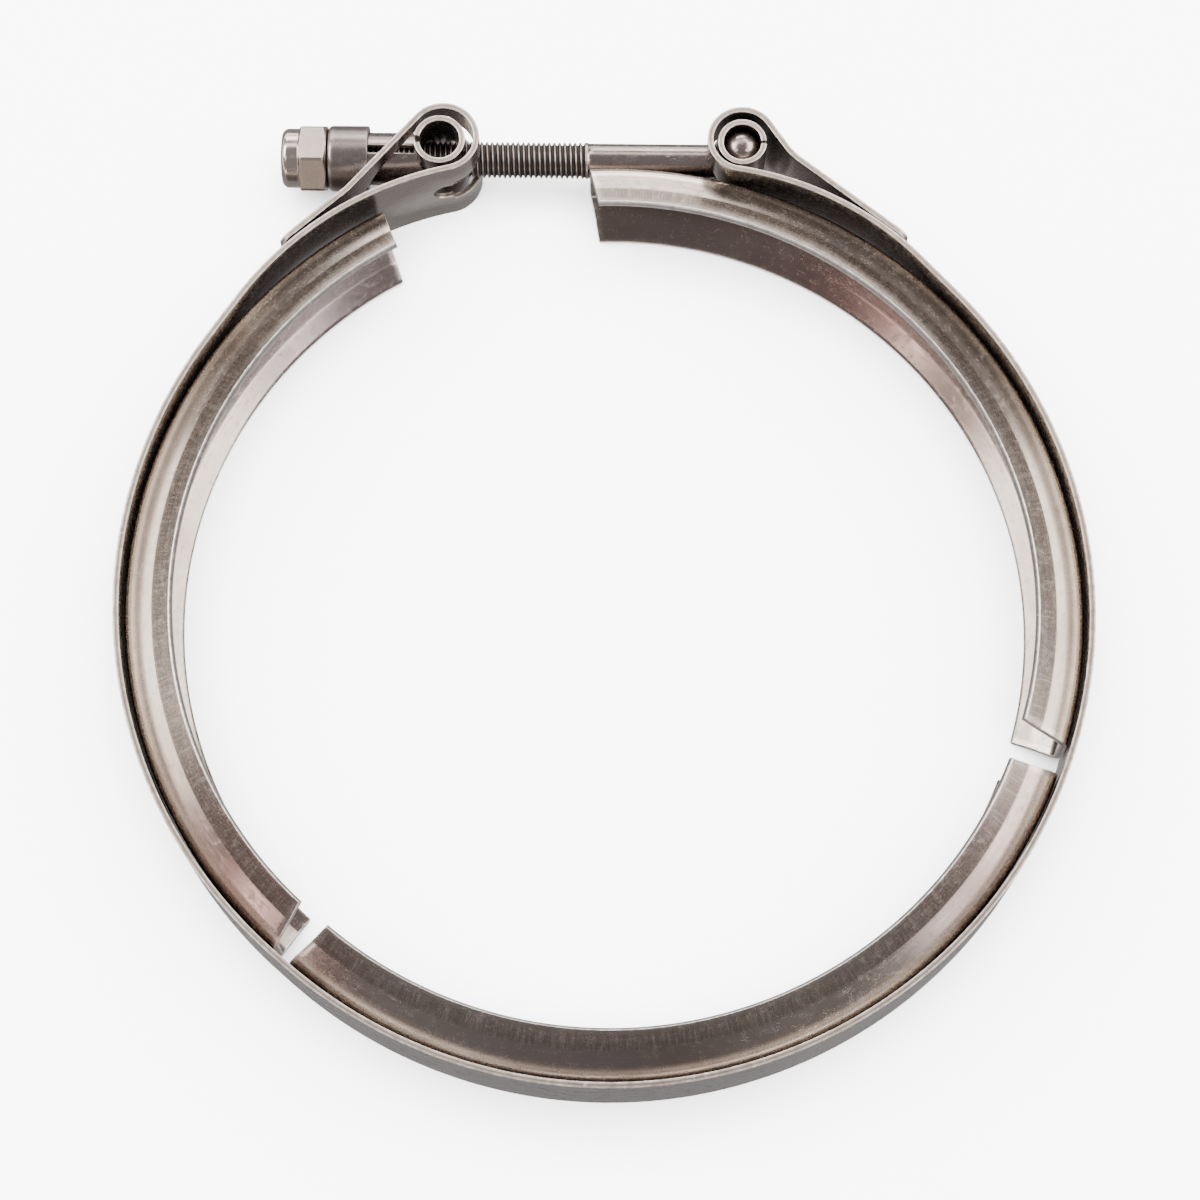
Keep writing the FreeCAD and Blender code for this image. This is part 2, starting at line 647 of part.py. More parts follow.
def make_cup():
    """Drawn cup that holds the arms' ends together and takes the nut."""
    body = new_body("trunnion_cup")
    profile = new_sketch(body, "cup_profile", "XY_Plane")
    floor = "-<arm_length> - <cup_fit>"
    add_outline(profile, [
        ("-" + cupFace, boltWay),
        ("-" + cupFace, cupRadius),
        ("-" + cupMouth, cupRadius),
        ("-" + cupMouth, cupBore),
        (floor, cupBore),
        (floor, boltWay),
    ])
    turned = add_turned(body, "Revolution", "cup_turned", profile, "H_Axis")
    face, radius = size("-" + cupFace), size(cupRadius)
    add_fillet(body, "cup_shoulder_round", turned, "<cup_shoulder>",
               lambda edge: round_edge(edge, radius) and abs(edge.Curve.Center.x - face) < 1e-4)
    body.Placement = trunnionFrame
    return body


# ---------------------------------------------------------------------------------- nut and ring
nutFrame = trunnionFrame.multiply(
    FreeCAD.Placement(FreeCAD.Vector(size("-" + cupFace + " - <nut_gap>"), 0, 0), FreeCAD.Rotation()))
nutBore = "(<thread_diameter> / 2 + <thread_play>)"
ringOuter = "(<ring_pocket> / 2 - <ring_play>)"
pocketEnd = "(<nut_length> - <ring_lip>)"


def make_nut():
    """Hexagon with a round collar; it seats at X = 0 and runs along -X."""
    body = new_body("lock_nut")
    corner = "(<nut_flats> / 2 / cos(30))"
    hexagon = new_sketch(body, "hexagon", "YZ_Plane")
    corners = []
    for turn in range(0, 360, 60):
        way = "(<nut_turn> + %d)" % turn
        corners.append((corner + " * cos" + way, corner + " * sin" + way))
    add_outline(hexagon, corners)
    add_pad(body, "hexagon_pad", hexagon, "<nut_hex_length>", False, True)
    profile = new_sketch(body, "collar_profile", "XY_Plane")
    add_outline(profile, [
        ("-<nut_hex_length> / 2", "0"),
        ("-<nut_hex_length> / 2", "<nut_collar> / 2"),
        ("-<nut_length>", "<nut_collar> / 2"),
        ("-<nut_length>", "0"),
    ])
    collar = add_turned(body, "Revolution", "collar", profile, "H_Axis")
    end, radius = size("-<nut_length>"), size("<nut_collar> / 2")
    add_fillet(body, "collar_rounding", collar, "<collar_round>",
               lambda edge: round_edge(edge, radius) and abs(edge.Curve.Center.x - end) < 1e-4)
    bevel = new_sketch(body, "corner_bevels", "XY_Plane")
    flat = "(<nut_flats> / 2)"
    rise = "(" + corner + " - " + flat + ")"
    for face, away in (("0", "-"), ("-<nut_hex_length>", "+")):
        add_outline(bevel, [
            (face, flat),
            (face, flat + " + 2 * " + rise),
            (face + " " + away + " 2 * " + rise + " * tan(30)", flat + " + 2 * " + rise),
        ])
    before = body.Shape.Volume
    add_turned(body, "Groove", "corners_bevelled", bevel, "H_Axis")
    hollow = new_sketch(body, "thread_and_pocket", "XY_Plane")
    add_outline(hollow, [
        ("<nut_gap>", "0"),
        ("<nut_gap>", nutBore),
        ("-" + pocketEnd + " + <ring_length>", nutBore),
        ("-" + pocketEnd + " + <ring_length>", "<ring_pocket> / 2"),
        ("-" + pocketEnd, "<ring_pocket> / 2"),
        ("-" + pocketEnd, nutBore + " + <ring_lip>"),
        ("-<nut_length> - <nut_gap>", nutBore + " + <ring_lip>"),
        ("-<nut_length> - <nut_gap>", "0"),
    ])
    add_turned(body, "Groove", "nut_hollow", hollow, "H_Axis")
    if body.Shape.Volume > before:
        raise RuntimeError("the nut's grooves cut nothing")
    body.Placement = nutFrame
    return body


def make_locking_ring():
    """Nylon ring held in the nut's groove."""
    body = new_body("locking_ring")
    profile = new_sketch(body, "ring_profile", "XY_Plane")
    add_outline(profile, [
        ("-" + pocketEnd + " + <ring_length> - <ring_play>", nutBore),
        ("-" + pocketEnd + " + <ring_length> - <ring_play>", ringOuter),
        ("-" + pocketEnd + " + <ring_play>", ringOuter),
        ("-" + pocketEnd + " + <ring_play>", nutBore),
    ])
    add_turned(body, "Revolution", "ring_turned", profile, "H_Axis")
    body.Placement = nutFrame
    return body


# ---------------------------------------------------------------------------------- build and write
closed = FreeCAD.Placement()
parts = [
    make_strap(),
    make_retainer("retainer_middle", size("<middle_angle>"), closed),
    make_retainer("retainer_left", left.centreAngle, left.placement),
    make_retainer("retainer_right", right.centreAngle, right.placement),
    make_bolt(),
    make_bolt_sleeve(),
    make_trunnion(),
    make_cup(),
    make_nut(),
    make_locking_ring(),
]
doc.recompute()
for item in doc.Objects:
    if "Invalid" in item.State or "Error" in item.State:
        raise RuntimeError(item.Name + " failed: " + str(item.State))
for part in parts:
    shape = part.Shape
    if shape.isNull() or not shape.isValid() or len(shape.Solids) != 1:
        raise RuntimeError(part.Label + " is not one sound solid")
for part in parts:
    part.Shape.exportStep("parts/" + part.Label + ".step")
    print("%-16s %9.1f mm3" % (part.Label, part.Shape.Volume))
print("trunnion centre (%.4f, %.4f)" % (trunnionCentre.x, trunnionCentre.y))
print("T head centre   (%.4f, %.4f)" % (headCentre.x, headCentre.y))
print("left hinge      (%.4f, %.4f)" % (left.hinge.x, left.hinge.y))
print("right hinge     (%.4f, %.4f)" % (right.hinge.x, right.hinge.y))
print("bolt turned by %.4f degrees" % boltTurn)
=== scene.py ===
import math
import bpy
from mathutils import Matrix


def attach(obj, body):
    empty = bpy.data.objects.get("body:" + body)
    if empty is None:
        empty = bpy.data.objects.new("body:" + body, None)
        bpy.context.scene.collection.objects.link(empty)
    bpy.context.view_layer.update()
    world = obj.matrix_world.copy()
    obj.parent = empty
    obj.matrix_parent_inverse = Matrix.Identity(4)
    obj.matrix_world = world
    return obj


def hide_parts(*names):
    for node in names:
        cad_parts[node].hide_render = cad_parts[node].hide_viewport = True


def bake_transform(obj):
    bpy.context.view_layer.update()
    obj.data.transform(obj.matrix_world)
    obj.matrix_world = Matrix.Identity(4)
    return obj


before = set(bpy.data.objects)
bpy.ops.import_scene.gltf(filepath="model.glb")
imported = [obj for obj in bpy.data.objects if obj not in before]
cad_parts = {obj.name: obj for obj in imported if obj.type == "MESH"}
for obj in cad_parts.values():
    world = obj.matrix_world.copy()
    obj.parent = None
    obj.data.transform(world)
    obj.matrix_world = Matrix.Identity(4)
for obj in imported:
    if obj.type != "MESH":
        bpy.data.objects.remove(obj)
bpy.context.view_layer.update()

from types import SimpleNamespace
import bmesh
import bpy
import numpy as np
from mathutils import Matrix, Vector

mm = 0.001
join = np.concatenate
print("frame loaded:", sorted(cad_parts))


# meshes from arrays; lengths in millimetres unless a note says otherwise

meshing = {
    "rimPoints": 4,  # across an eased edge
    "edgeShare": 0.9,  # of the easing: faces nearer the rim have the cut edge's finish
    "shineReach": 2.5,  # how far an edge is rubbed bright, in easings
    "merge": 2e-6,  # metres
    "sliver": 1e-6,  # metres
    "nearest": 0.004,  # stations closer than this are dropped
    "shut": 0.02,  # a slot narrower than this is closed
    "far": 1e3,  # no edge near
    "tiny": 1e-9,
    "cornerShare": (0.95, 0.48),  # of an edge that one eased corner may take, and each of two
    "fullBend": 0.25,  # radians between two profile steps that make a whole corner
}


def named(sizes):
    # a dictionary whose entries can be asked for with a dot
    return SimpleNamespace(**sizes)


def direction(angle):
    # unit vector in the plane of the ring, angle in degrees from +X
    turn = np.radians(angle)
    return np.array([np.cos(turn), np.sin(turn), 0.0])


def smoothStep(value, low, high):
    # cubic ease: 3 t^2 - 2 t^3, with t running 0 to 1 between low and high
    t = np.clip((value - low) / (high - low), 0, 1)
    return t * t * (3 - 2 * t)


def easeSteps(radius):
    # distances from a rim, closer together towards it: radius (1 - cos a), a from 0 to a quarter turn
    return radius * (1 - np.cos(np.linspace(0, np.pi / 2, meshing["rimPoints"])))


def quarter(count):
    # sines over a quarter turn, for places that fall evenly round an end
    return np.sin(np.linspace(0, np.pi / 2, count))


def rimHalf(distance, half, radius):
    # half thickness near a rounded rim: half - r + sqrt(r^2 - (r - d)^2)
    inside = np.clip(distance, 0, radius)
    return half - radius + np.sqrt(np.maximum(radius**2 - (radius - inside) ** 2, 0))


def addObject(name, data):
    # puts a mesh, a lamp or a camera into the scene
    made = bpy.data.objects.new(name, data)
    bpy.context.scene.collection.objects.link(made)
    return made


def meshPiece(name, points, faces, cut, uv, edge, marks, outside, materials, sharp=38):
    # faces are rows of four point indices; uv and the three values of each point go into the mesh as they are
    mesh = bpy.data.meshes.new(name)
    mesh.from_pydata((points * mm).tolist(), [], faces.tolist())
    layer = mesh.uv_layers.new(name="UVMap")
    order = np.empty(len(mesh.loops), np.int32)
    mesh.loops.foreach_get("vertex_index", order)
    layer.data.foreach_set("uv", uv[order].astype(np.float32).ravel())
    for label, values in (("edge", edge), ("mark", marks), ("outside", outside)):
        mesh.attributes.new(label, "FLOAT", "POINT").data.foreach_set("value", values.astype(np.float32))
    mesh.polygons.foreach_set("material_index", cut.astype(np.int32))
    work = bmesh.new()
    work.from_mesh(mesh)
    bmesh.ops.delete(work, geom=[vert for vert in work.verts if not vert.link_faces], context="VERTS")
    bmesh.ops.remove_doubles(work, verts=work.verts, dist=meshing["merge"])
    bmesh.ops.dissolve_degenerate(work, edges=work.edges, dist=meshing["sliver"])
    work.to_mesh(mesh)
    work.free()
    mesh.shade_smooth()
    mesh.set_sharp_from_angle(angle=math.radians(sharp))
    for material in materials:
        mesh.materials.append(material)
    return addObject(name, mesh)


class Sheet:
    # collects the patches of one piece: turned ones, and bent sheet, whose wall lies half on each side of a
    # middle surface
    def __init__(self):
        self.parts = {key: [] for key in ("points", "faces", "cut", "uv", "edge", "marks", "outside")}
        self.count = 0

    def add(self, points, faces, cut, uv, edge, marks, outside=None):
        outside = np.ones(len(points)) if outside is None else outside
        for key, value in zip(self.parts, (points, faces + self.count, cut, uv, edge, marks, outside)):
            self.parts[key].append(value)
        self.count += len(points)
        return self

    def wall(self, middle, normal, half, uv, rim, rounding, sides=(True, True), caps=(True, True),
             marks=0.0, dent=0.0, clip=None):
        # the two faces stand at middle +- normal x half; rim is each point's distance from the nearest edge
        rows, columns = half.shape
        size = rows * columns
        outer, inner = middle + normal * (half - dent)[..., None], middle - normal * half[..., None]
        top = np.arange(size).reshape(rows, columns)
        low = top + size
        quads = [np.stack([top[:-1, :-1], top[:-1, 1:], top[1:, 1:], top[1:, :-1]], -1).reshape(-1, 4),
                 np.stack([low[:-1, :-1], low[1:, :-1], low[1:, 1:], low[:-1, 1:]], -1).reshape(-1, 4)]
        near = (rim[:-1, :-1] + rim[1:, 1:]).ravel() / 2 < rounding * meshing["edgeShare"]
        # a cut wall runs from one face to the other over a line at mid thickness
        lines = ((np.s_[:, 0], sides[0], False), (np.s_[:, -1], sides[1], True),
                 (np.s_[0], caps[0], True), (np.s_[-1], caps[1], False))
        linePoints, lineUv, count = [], [], 2 * size
        for at, keep, swapped in lines:
            upper, lower = top[at], low[at]
            keep = np.full(len(upper) - 1, bool(keep)) if np.isscalar(keep) else keep
            between = count + np.arange(len(upper))
            for first, last in ((upper, between), (between, lower)):
                strip = np.stack([first[:-1], first[1:], last[1:], last[:-1]], -1)[keep]
                quads.append(strip[:, ::-1] if swapped else strip)
            linePoints.append(middle[at])
            lineUv.append(uv[at])
            count += len(upper)
        cut = join([near, near] + [np.ones(len(part), bool) for part in quads[2:]])
        faces = join(quads)
        i, j = rows // 2, columns // 2
        along = middle[min(i + 1, rows - 1), j] - middle[i - 1, j]
        across = middle[i, min(j + 1, columns - 1)] - middle[i, j - 1]
        if np.dot(np.cross(across, along), normal[i, j]) < 0:
            faces = faces[:, ::-1]
        points = join([outer.reshape(-1, 3), inner.reshape(-1, 3), *linePoints])
        if clip is not None:
            points = clip(points)
        uv = uv.reshape(-1, 2)
        shine = np.exp(-np.maximum(rim, 0) / (meshing["shineReach"] * rounding)).ravel()
        marks = np.broadcast_to(marks, half.shape).ravel()
        none, spare = np.zeros(size), np.zeros(count - 2 * size)
        self.add(points, faces, cut, join([uv, uv, *lineUv]), join([shine, shine, spare]),
                 join([marks, none, spare]), join([none + 1, none, spare]))

    def build(self, name, materials, sharp=38):
        joined = {key: join(value) for key, value in self.parts.items()}
        return meshPiece(name, materials=materials, sharp=sharp, **joined)


def walkPath(start, heading, side, steps, stations):
    # a line of straights and arcs: each step has a length and a turn, heading grows evenly along a step,
    # and the chord over a stretch d of an arc of radius r is 2 r sin(d / 2 r) at half the turn
    lengths = np.array([length for length, turn in steps])
    turns = np.array([turn for length, turn in steps]) * side
    ends = np.cumsum(lengths)
    begins = ends - lengths
    headings = heading + join([[0], np.cumsum(turns)[:-1]])

    def advance(step, distance):
        turn = np.radians(turns[step] * distance / lengths[step])
        half = turn / 2
        chord = distance * np.sinc(half / np.pi)
        way = np.radians(headings[step]) + half
        return np.stack([chord * np.cos(way), chord * np.sin(way), np.zeros_like(chord)], -1)

    corners = [np.array(start, float)]
    for step in range(len(steps)):
        corners.append(corners[-1] + advance(step, lengths[step : step + 1])[0])
    step = np.clip(np.searchsorted(ends, stations, side="right"), 0, len(steps) - 1)
    places = np.zeros((len(stations), 3))
    for index in range(len(steps)):
        here = step == index
        places[here] = corners[index] + advance(index, stations[here] - begins[index])
    angle = headings[step] + turns[step] * (stations - begins[step]) / lengths[step]
    out = np.radians(angle + 90 * side)
    return places, np.stack([np.cos(out), np.sin(out), np.zeros_like(out)], -1)


def stationsAlong(steps, finest, coarsest, bend, extra=()):
    # places along a path, closer where it bends hard: spacing = bend angle x radius, held between two limits
    places, begin = [], 0.0
    for length, turn in steps:
        radius = length / max(math.radians(abs(turn)), meshing["tiny"])
        gap = min(max(radius * math.radians(bend), finest), coarsest)
        places.append(np.linspace(begin, begin + length, max(2, math.ceil(length / gap) + 1)))
        begin += length
    ordered = np.unique(np.round(join(places + [np.array(extra)]), 4))
    keep = join([[True], np.diff(ordered) > meshing["nearest"]])
    return ordered[keep & (ordered <= begin + meshing["tiny"])]


def addBand(sheet, places, normals, stations, slotHalf, width, thickness, rounding, columns,
            caps=(True, True), weld=None, way=1):
    # two mirrored strips, each from the slot's edge h(s) to the outer edge w(s), that meet where h = 0
    steps, far = easeSteps(rounding), meshing["far"]
    slotHalf = np.where(slotHalf < meshing["shut"], 0, slotHalf)[:, None]
    width = width[:, None]
    isOpen = slotHalf[:, 0] > 0
    first, last = slotHalf + rounding, width - rounding
    height = join([slotHalf + steps[:-1], first + (last - first) * np.linspace(0, 1, columns),
                             width - steps[::-1][1:]], 1)
    along = np.minimum(stations - stations[0] if caps[0] else far, stations[-1] - stations if caps[1] else far)
    fromSlot = np.where(isOpen[:, None], height - slotHalf, far)
    rim = np.minimum(np.minimum(fromSlot, width - height), along[:, None])
    half = rimHalf(rim, thickness / 2, rounding)
    middle, normal = (np.repeat(values[:, None, :], height.shape[1], 1) for values in (places, normals))
    for side in (1, -1):
        middle[..., 2] = height * side
        uv = np.stack([np.broadcast_to(way * stations[:, None], height.shape), height * side], -1)
        dent, marks = weld(stations[:, None], height) if weld else (0.0, 0.0)
        sheet.wall(middle, normal, half, uv, rim, rounding, sides=(isOpen[:-1] | isOpen[1:], True),
                   caps=caps, marks=marks, dent=dent)


def loopProfile(corners, radii, steps):
    # an outline with each corner c eased by an arc from tangent point a to b, drawn as a rational quadratic:
    # (a (1 - t)^2 + 2 w c t (1 - t) + b t^2) / ((1 - t)^2 + 2 w t (1 - t) + t^2), w = sin of half its angle
    corners = np.array(corners, float)
    t = np.linspace(0, 1, steps)[:, None]
    alone, shared = meshing["cornerShare"]
    outline = []
    for index, (corner, radius) in enumerate(zip(corners, radii)):
        if not radius:
            outline.append(corner[None, :])
            continue
        before, after = corners[index - 1] - corner, corners[(index + 1) % len(corners)] - corner
        lengths = np.linalg.norm(before), np.linalg.norm(after)
        before, after = before / lengths[0], after / lengths[1]
        angle = math.acos(np.clip(np.dot(before, after), -1, 1))
        room = [length * (shared if radii[index + step] else alone)
                for length, step in zip(lengths, (-1, 1 - len(radii)))]
        reach = min(radius / math.tan(angle / 2), *room)
        pull = 2 * math.sin(angle / 2) * t * (1 - t)
        top = (1 - t) ** 2 * (corner + before * reach) + pull * corner + t**2 * (corner + after * reach)
        outline.append(top / ((1 - t) ** 2 + pull + t**2))
    return join(outline)


def fineLine(points, gap, closed=True):
    # the same outline with more points on its long runs, none further apart than gap
    ring = join([points, points[:1]]) if closed else points
    reach = join([[0], np.cumsum(np.linalg.norm(np.diff(ring, axis=0), axis=1))])
    counts = np.maximum(np.ceil(np.diff(reach) / gap).astype(int), 1)
    places = np.unique(join([np.linspace(a, b, n + 1) for a, b, n in zip(reach, reach[1:], counts)]))
    fine = np.stack([np.interp(places, reach, ring[:, k]) for k in (0, 1)], -1)
    return fine[:-1] if closed else fine


def turned(origin, axis, up, profile, columns, closed=True, shape=None):
    # a profile (distance x along the axis, radius r) turned about it: p = o + x a + r (cos t e1 + sin t e2);
    # its outer side runs along the axis, which turns the faces outwards
    angle = np.linspace(0, 2 * np.pi, columns, endpoint=False)
    along = np.repeat(profile[:, :1], columns, 1)
    radius = np.repeat(profile[:, 1:], columns, 1)
    if shape is not None:
        radius = shape(along, radius, angle[None, :])
    circle = np.cos(angle)[:, None] * up + np.sin(angle)[:, None] * np.cross(axis, up)
    points = origin + along[..., None] * axis + radius[..., None] * circle
    index = np.arange(along.size).reshape(-1, columns)
    following = np.roll(index, -1, 1)
    if closed:
        faces = [index, following, np.roll(following, -1, 0), np.roll(index, -1, 0)]
    else:
        faces = [index[:-1], following[:-1], following[1:], index[1:]]
    faces = np.stack(faces, -1).reshape(-1, 4)
    reach = join([[0], np.cumsum(np.linalg.norm(np.diff(profile, axis=0), axis=1))])
    uv = np.stack([np.repeat(reach[:, None], columns, 1), angle * radius], -1)
    steps = np.diff(join([profile[-1:], profile, profile[:1]]), axis=0)
    heading = np.unwrap(np.arctan2(steps[:, 1], steps[:, 0]))
    bent = np.clip(np.abs(np.diff(heading)) / meshing["fullBend"], 0, 1)
    return (points.reshape(-1, 3), faces, np.zeros(len(faces), bool), uv.reshape(-1, 2),
            np.repeat(bent, columns), np.zeros(along.size))


# shader nodes

def newMaterial(name):
    # a material and the inputs of its main shader
    material = bpy.data.materials.new(name)
    material.use_nodes = True
    return material, material.node_tree.nodes["Principled BSDF"].inputs


def place(tree, kind, sockets=None, **settings):
    # a new shader node: a socket given another node's output is linked to it, anything else becomes its value
    node = tree.nodes.new("ShaderNode" + kind)
    for key, value in settings.items():
        setattr(node, key, value)
    for key, value in (sockets or {}).items():
        if isinstance(value, bpy.types.NodeSocket):
            tree.links.new(value, node.inputs[key])
        else:
            node.inputs[key].default_value = value
    return node


def calc(tree, operation, first, second=0.5, clamp=False):
    # first (operation) second, held between 0 and 1 if clamped
    return place(tree, "Math", {0: first, 1: second}, operation=operation, use_clamp=clamp).outputs[0]


def times(tree, first, second, clamp=False):
    # first x second
    return calc(tree, "MULTIPLY", first, second, clamp)


def remap(tree, value, low, high, toLow=0.0, toHigh=1.0, ease="LINEAR"):
    # low to high becomes toLow to toHigh, held at both ends
    return place(tree, "MapRange", {0: value, 1: low, 2: high, 3: toLow, 4: toHigh},
                 interpolation_type=ease).outputs[0]


def mixColour(tree, factor, first, second):
    # first (1 - factor) + second factor
    return place(tree, "Mix", {0: factor, 6: first, 7: second}, data_type="RGBA").outputs[2]


def stretched(tree, vector, scale):
    # each coordinate x its own scale
    return place(tree, "VectorMath", {0: vector, 1: scale}, operation="MULTIPLY").outputs[0]


def noise(tree, vector, scale=1.0, detail=3.0, roughness=0.55):
    # smooth uneven values about 0.5
    sockets = {"Vector": vector, "Scale": scale, "Detail": detail, "Roughness": roughness}
    return place(tree, "TexNoise", sockets).outputs[0]


def attribute(tree, name):
    # the value that the mesh carries at each point under this name
    return place(tree, "Attribute", attribute_name=name).outputs["Fac"]


def makeGroup(name, inputs, outputs):
    # inputs by name with their first values, None for a vector; every output is a number
    tree = bpy.data.node_groups.new(name, "ShaderNodeTree")
    for label, value in inputs.items():
        kind = "NodeSocketVector" if value is None else "NodeSocketFloat"
        socket = tree.interface.new_socket(label, in_out="INPUT", socket_type=kind)
        if value is not None:
            socket.default_value = value
    for label in outputs:
        tree.interface.new_socket(label, in_out="OUTPUT", socket_type="NodeSocketFloat")
    return tree, tree.nodes.new("NodeGroupInput").outputs, tree.nodes.new("NodeGroupOutput").inputs


# noises are scale, detail and roughness; pairs are the noise values where an effect starts and is full
effects = {
    "lineNoise": (1.0, 4.0, 0.65),
    "fineNoise": (4.0, 2.0, 0.6),
    "fineShare": 0.4,
    "lineRange": (0.3, 0.7),
    "scratchStretch": (0.35, 1.3, 1.0),
    "scratchNoise": (1.4, 2.0, 0.5),
    "scratchWidth": 0.006,
    "scratchPatches": (0.35, 2.0),
    "scratchPlaces": (0.52, 0.62),
    "speckCells": 1.6,
    "speckSize": (0.08, 0.16),
    "speckPatches": (0.9, 3.0),
    "speckPlaces": (0.55, 0.63),
    "scuffNoise": (0.6, 6.0, 0.7),
    "scuffPlaces": (0.50, 0.66),
    "patchStretch": (1.0, 1.0, 3.0),
    "patchNoise": (90.0, 3.0),
    "patchBreak": 0.45,
    "patchFade": (0.15, 1.0),
    "wearNoise": (900.0, 3.0),
    "wearLeast": 0.35,
    "cloudNoise": (4.0, 0.6),
    "cloudRange": (0.35, 0.65),
    "pitNoise": (3.0, 0.6),
    "crossScale": (1.7, 0.12),  # along and across the sheet
    "crossRange": (0.48, 0.64),
    "speckColour": (0.05, 0.04, 0.04, 1),
}


def rollingLines():
    # streaks left by the rolls: coarse noise x 0.6 + finer noise x 0.4, both drawn out along the sheet
    tree, given, out = makeGroup("rollingLines", {"Vector": None, "Along": 0.05, "Across": 4.0}, ["Lines"])
    scale = place(tree, "CombineXYZ", {0: given["Along"], 1: given["Across"], 2: 1.0}).outputs[0]
    drawn = stretched(tree, given["Vector"], scale)
    coarse = times(tree, noise(tree, drawn, *effects["lineNoise"]), 1 - effects["fineShare"])
    fine = times(tree, noise(tree, drawn, *effects["fineNoise"]), effects["fineShare"])
    tree.links.new(calc(tree, "ADD", coarse, fine), out["Lines"])
    return tree


def handlingMarks():
    # scratches where |noise - 0.5| is near 0, specks near the middles of cells, scuffs where noise is high
    tree, given, out = makeGroup("handlingMarks", {"Vector": None, "Size": 1.0},
                                 ["Scratches", "Specks", "Scuffs"])
    scaled = place(tree, "VectorMath", {0: given["Vector"], 3: given["Size"]}, operation="SCALE").outputs[0]
    lines = noise(tree, stretched(tree, scaled, effects["scratchStretch"]), *effects["scratchNoise"])
    off = calc(tree, "ABSOLUTE", calc(tree, "SUBTRACT", lines, 0.5))
    thin = remap(tree, off, 0.0, effects["scratchWidth"], 1.0, 0.0)
    where = remap(tree, noise(tree, scaled, *effects["scratchPatches"]), *effects["scratchPlaces"])
    tree.links.new(times(tree, thin, where, True), out["Scratches"])
    cells = place(tree, "TexVoronoi", {"Vector": scaled, "Scale": effects["speckCells"]})
    dots = remap(tree, cells.outputs["Distance"], *effects["speckSize"], 1.0, 0.0)
    few = remap(tree, noise(tree, scaled, *effects["speckPatches"]), *effects["speckPlaces"])
    tree.links.new(times(tree, dots, few, True), out["Specks"])
    scuffs = remap(tree, noise(tree, scaled, *effects["scuffNoise"]), *effects["scuffPlaces"])
    tree.links.new(scuffs, out["Scuffs"])
    return tree


def heatBloom():
    # a patch that falls off with distance / reach, broken up by noise; its uses are heat tint, painted
    # reflection and painted shade
    tree, given, out = makeGroup("heatBloom", {"Vector": None, "Centre": None, "Reach": 0.02}, ["Bloom"])
    offset = place(tree, "VectorMath", {0: given["Vector"], 1: given["Centre"]}, operation="SUBTRACT")
    away = place(tree, "VectorMath", {0: stretched(tree, offset.outputs[0], effects["patchStretch"])},
                 operation="LENGTH").outputs["Value"]
    share, uneven = calc(tree, "DIVIDE", away, given["Reach"]), effects["patchBreak"]
    broken = remap(tree, noise(tree, given["Vector"], *effects["patchNoise"]), 0, 1, -uneven, uneven)
    tree.links.new(remap(tree, calc(tree, "ADD", share, broken), *effects["patchFade"], 1.0, 0.0), out["Bloom"])
    return tree


def edgeShine():
    # rubbed bright near cut edges, and a painted highlight on the thread's crests: the edge value x uneven
    # noise x amount
    tree, given, out = makeGroup("edgeShine", {"Vector": None, "Wear": 0.5}, ["Shine"])
    uneven = noise(tree, given["Vector"], *effects["wearNoise"])
    rough = remap(tree, uneven, *effects["lineRange"], effects["wearLeast"], 1.0)
    tree.links.new(times(tree, times(tree, attribute(tree, "edge"), rough), given["Wear"], True), out["Shine"])
    return tree


groups = {"lines": rollingLines(), "marks": handlingMarks(), "patch": heatBloom(), "shine": edgeShine()}


def useGroup(tree, name, **sockets):
    # one of the four shared groups, its sockets given by name
    return place(tree, "Group", sockets, node_tree=groups[name]).outputs


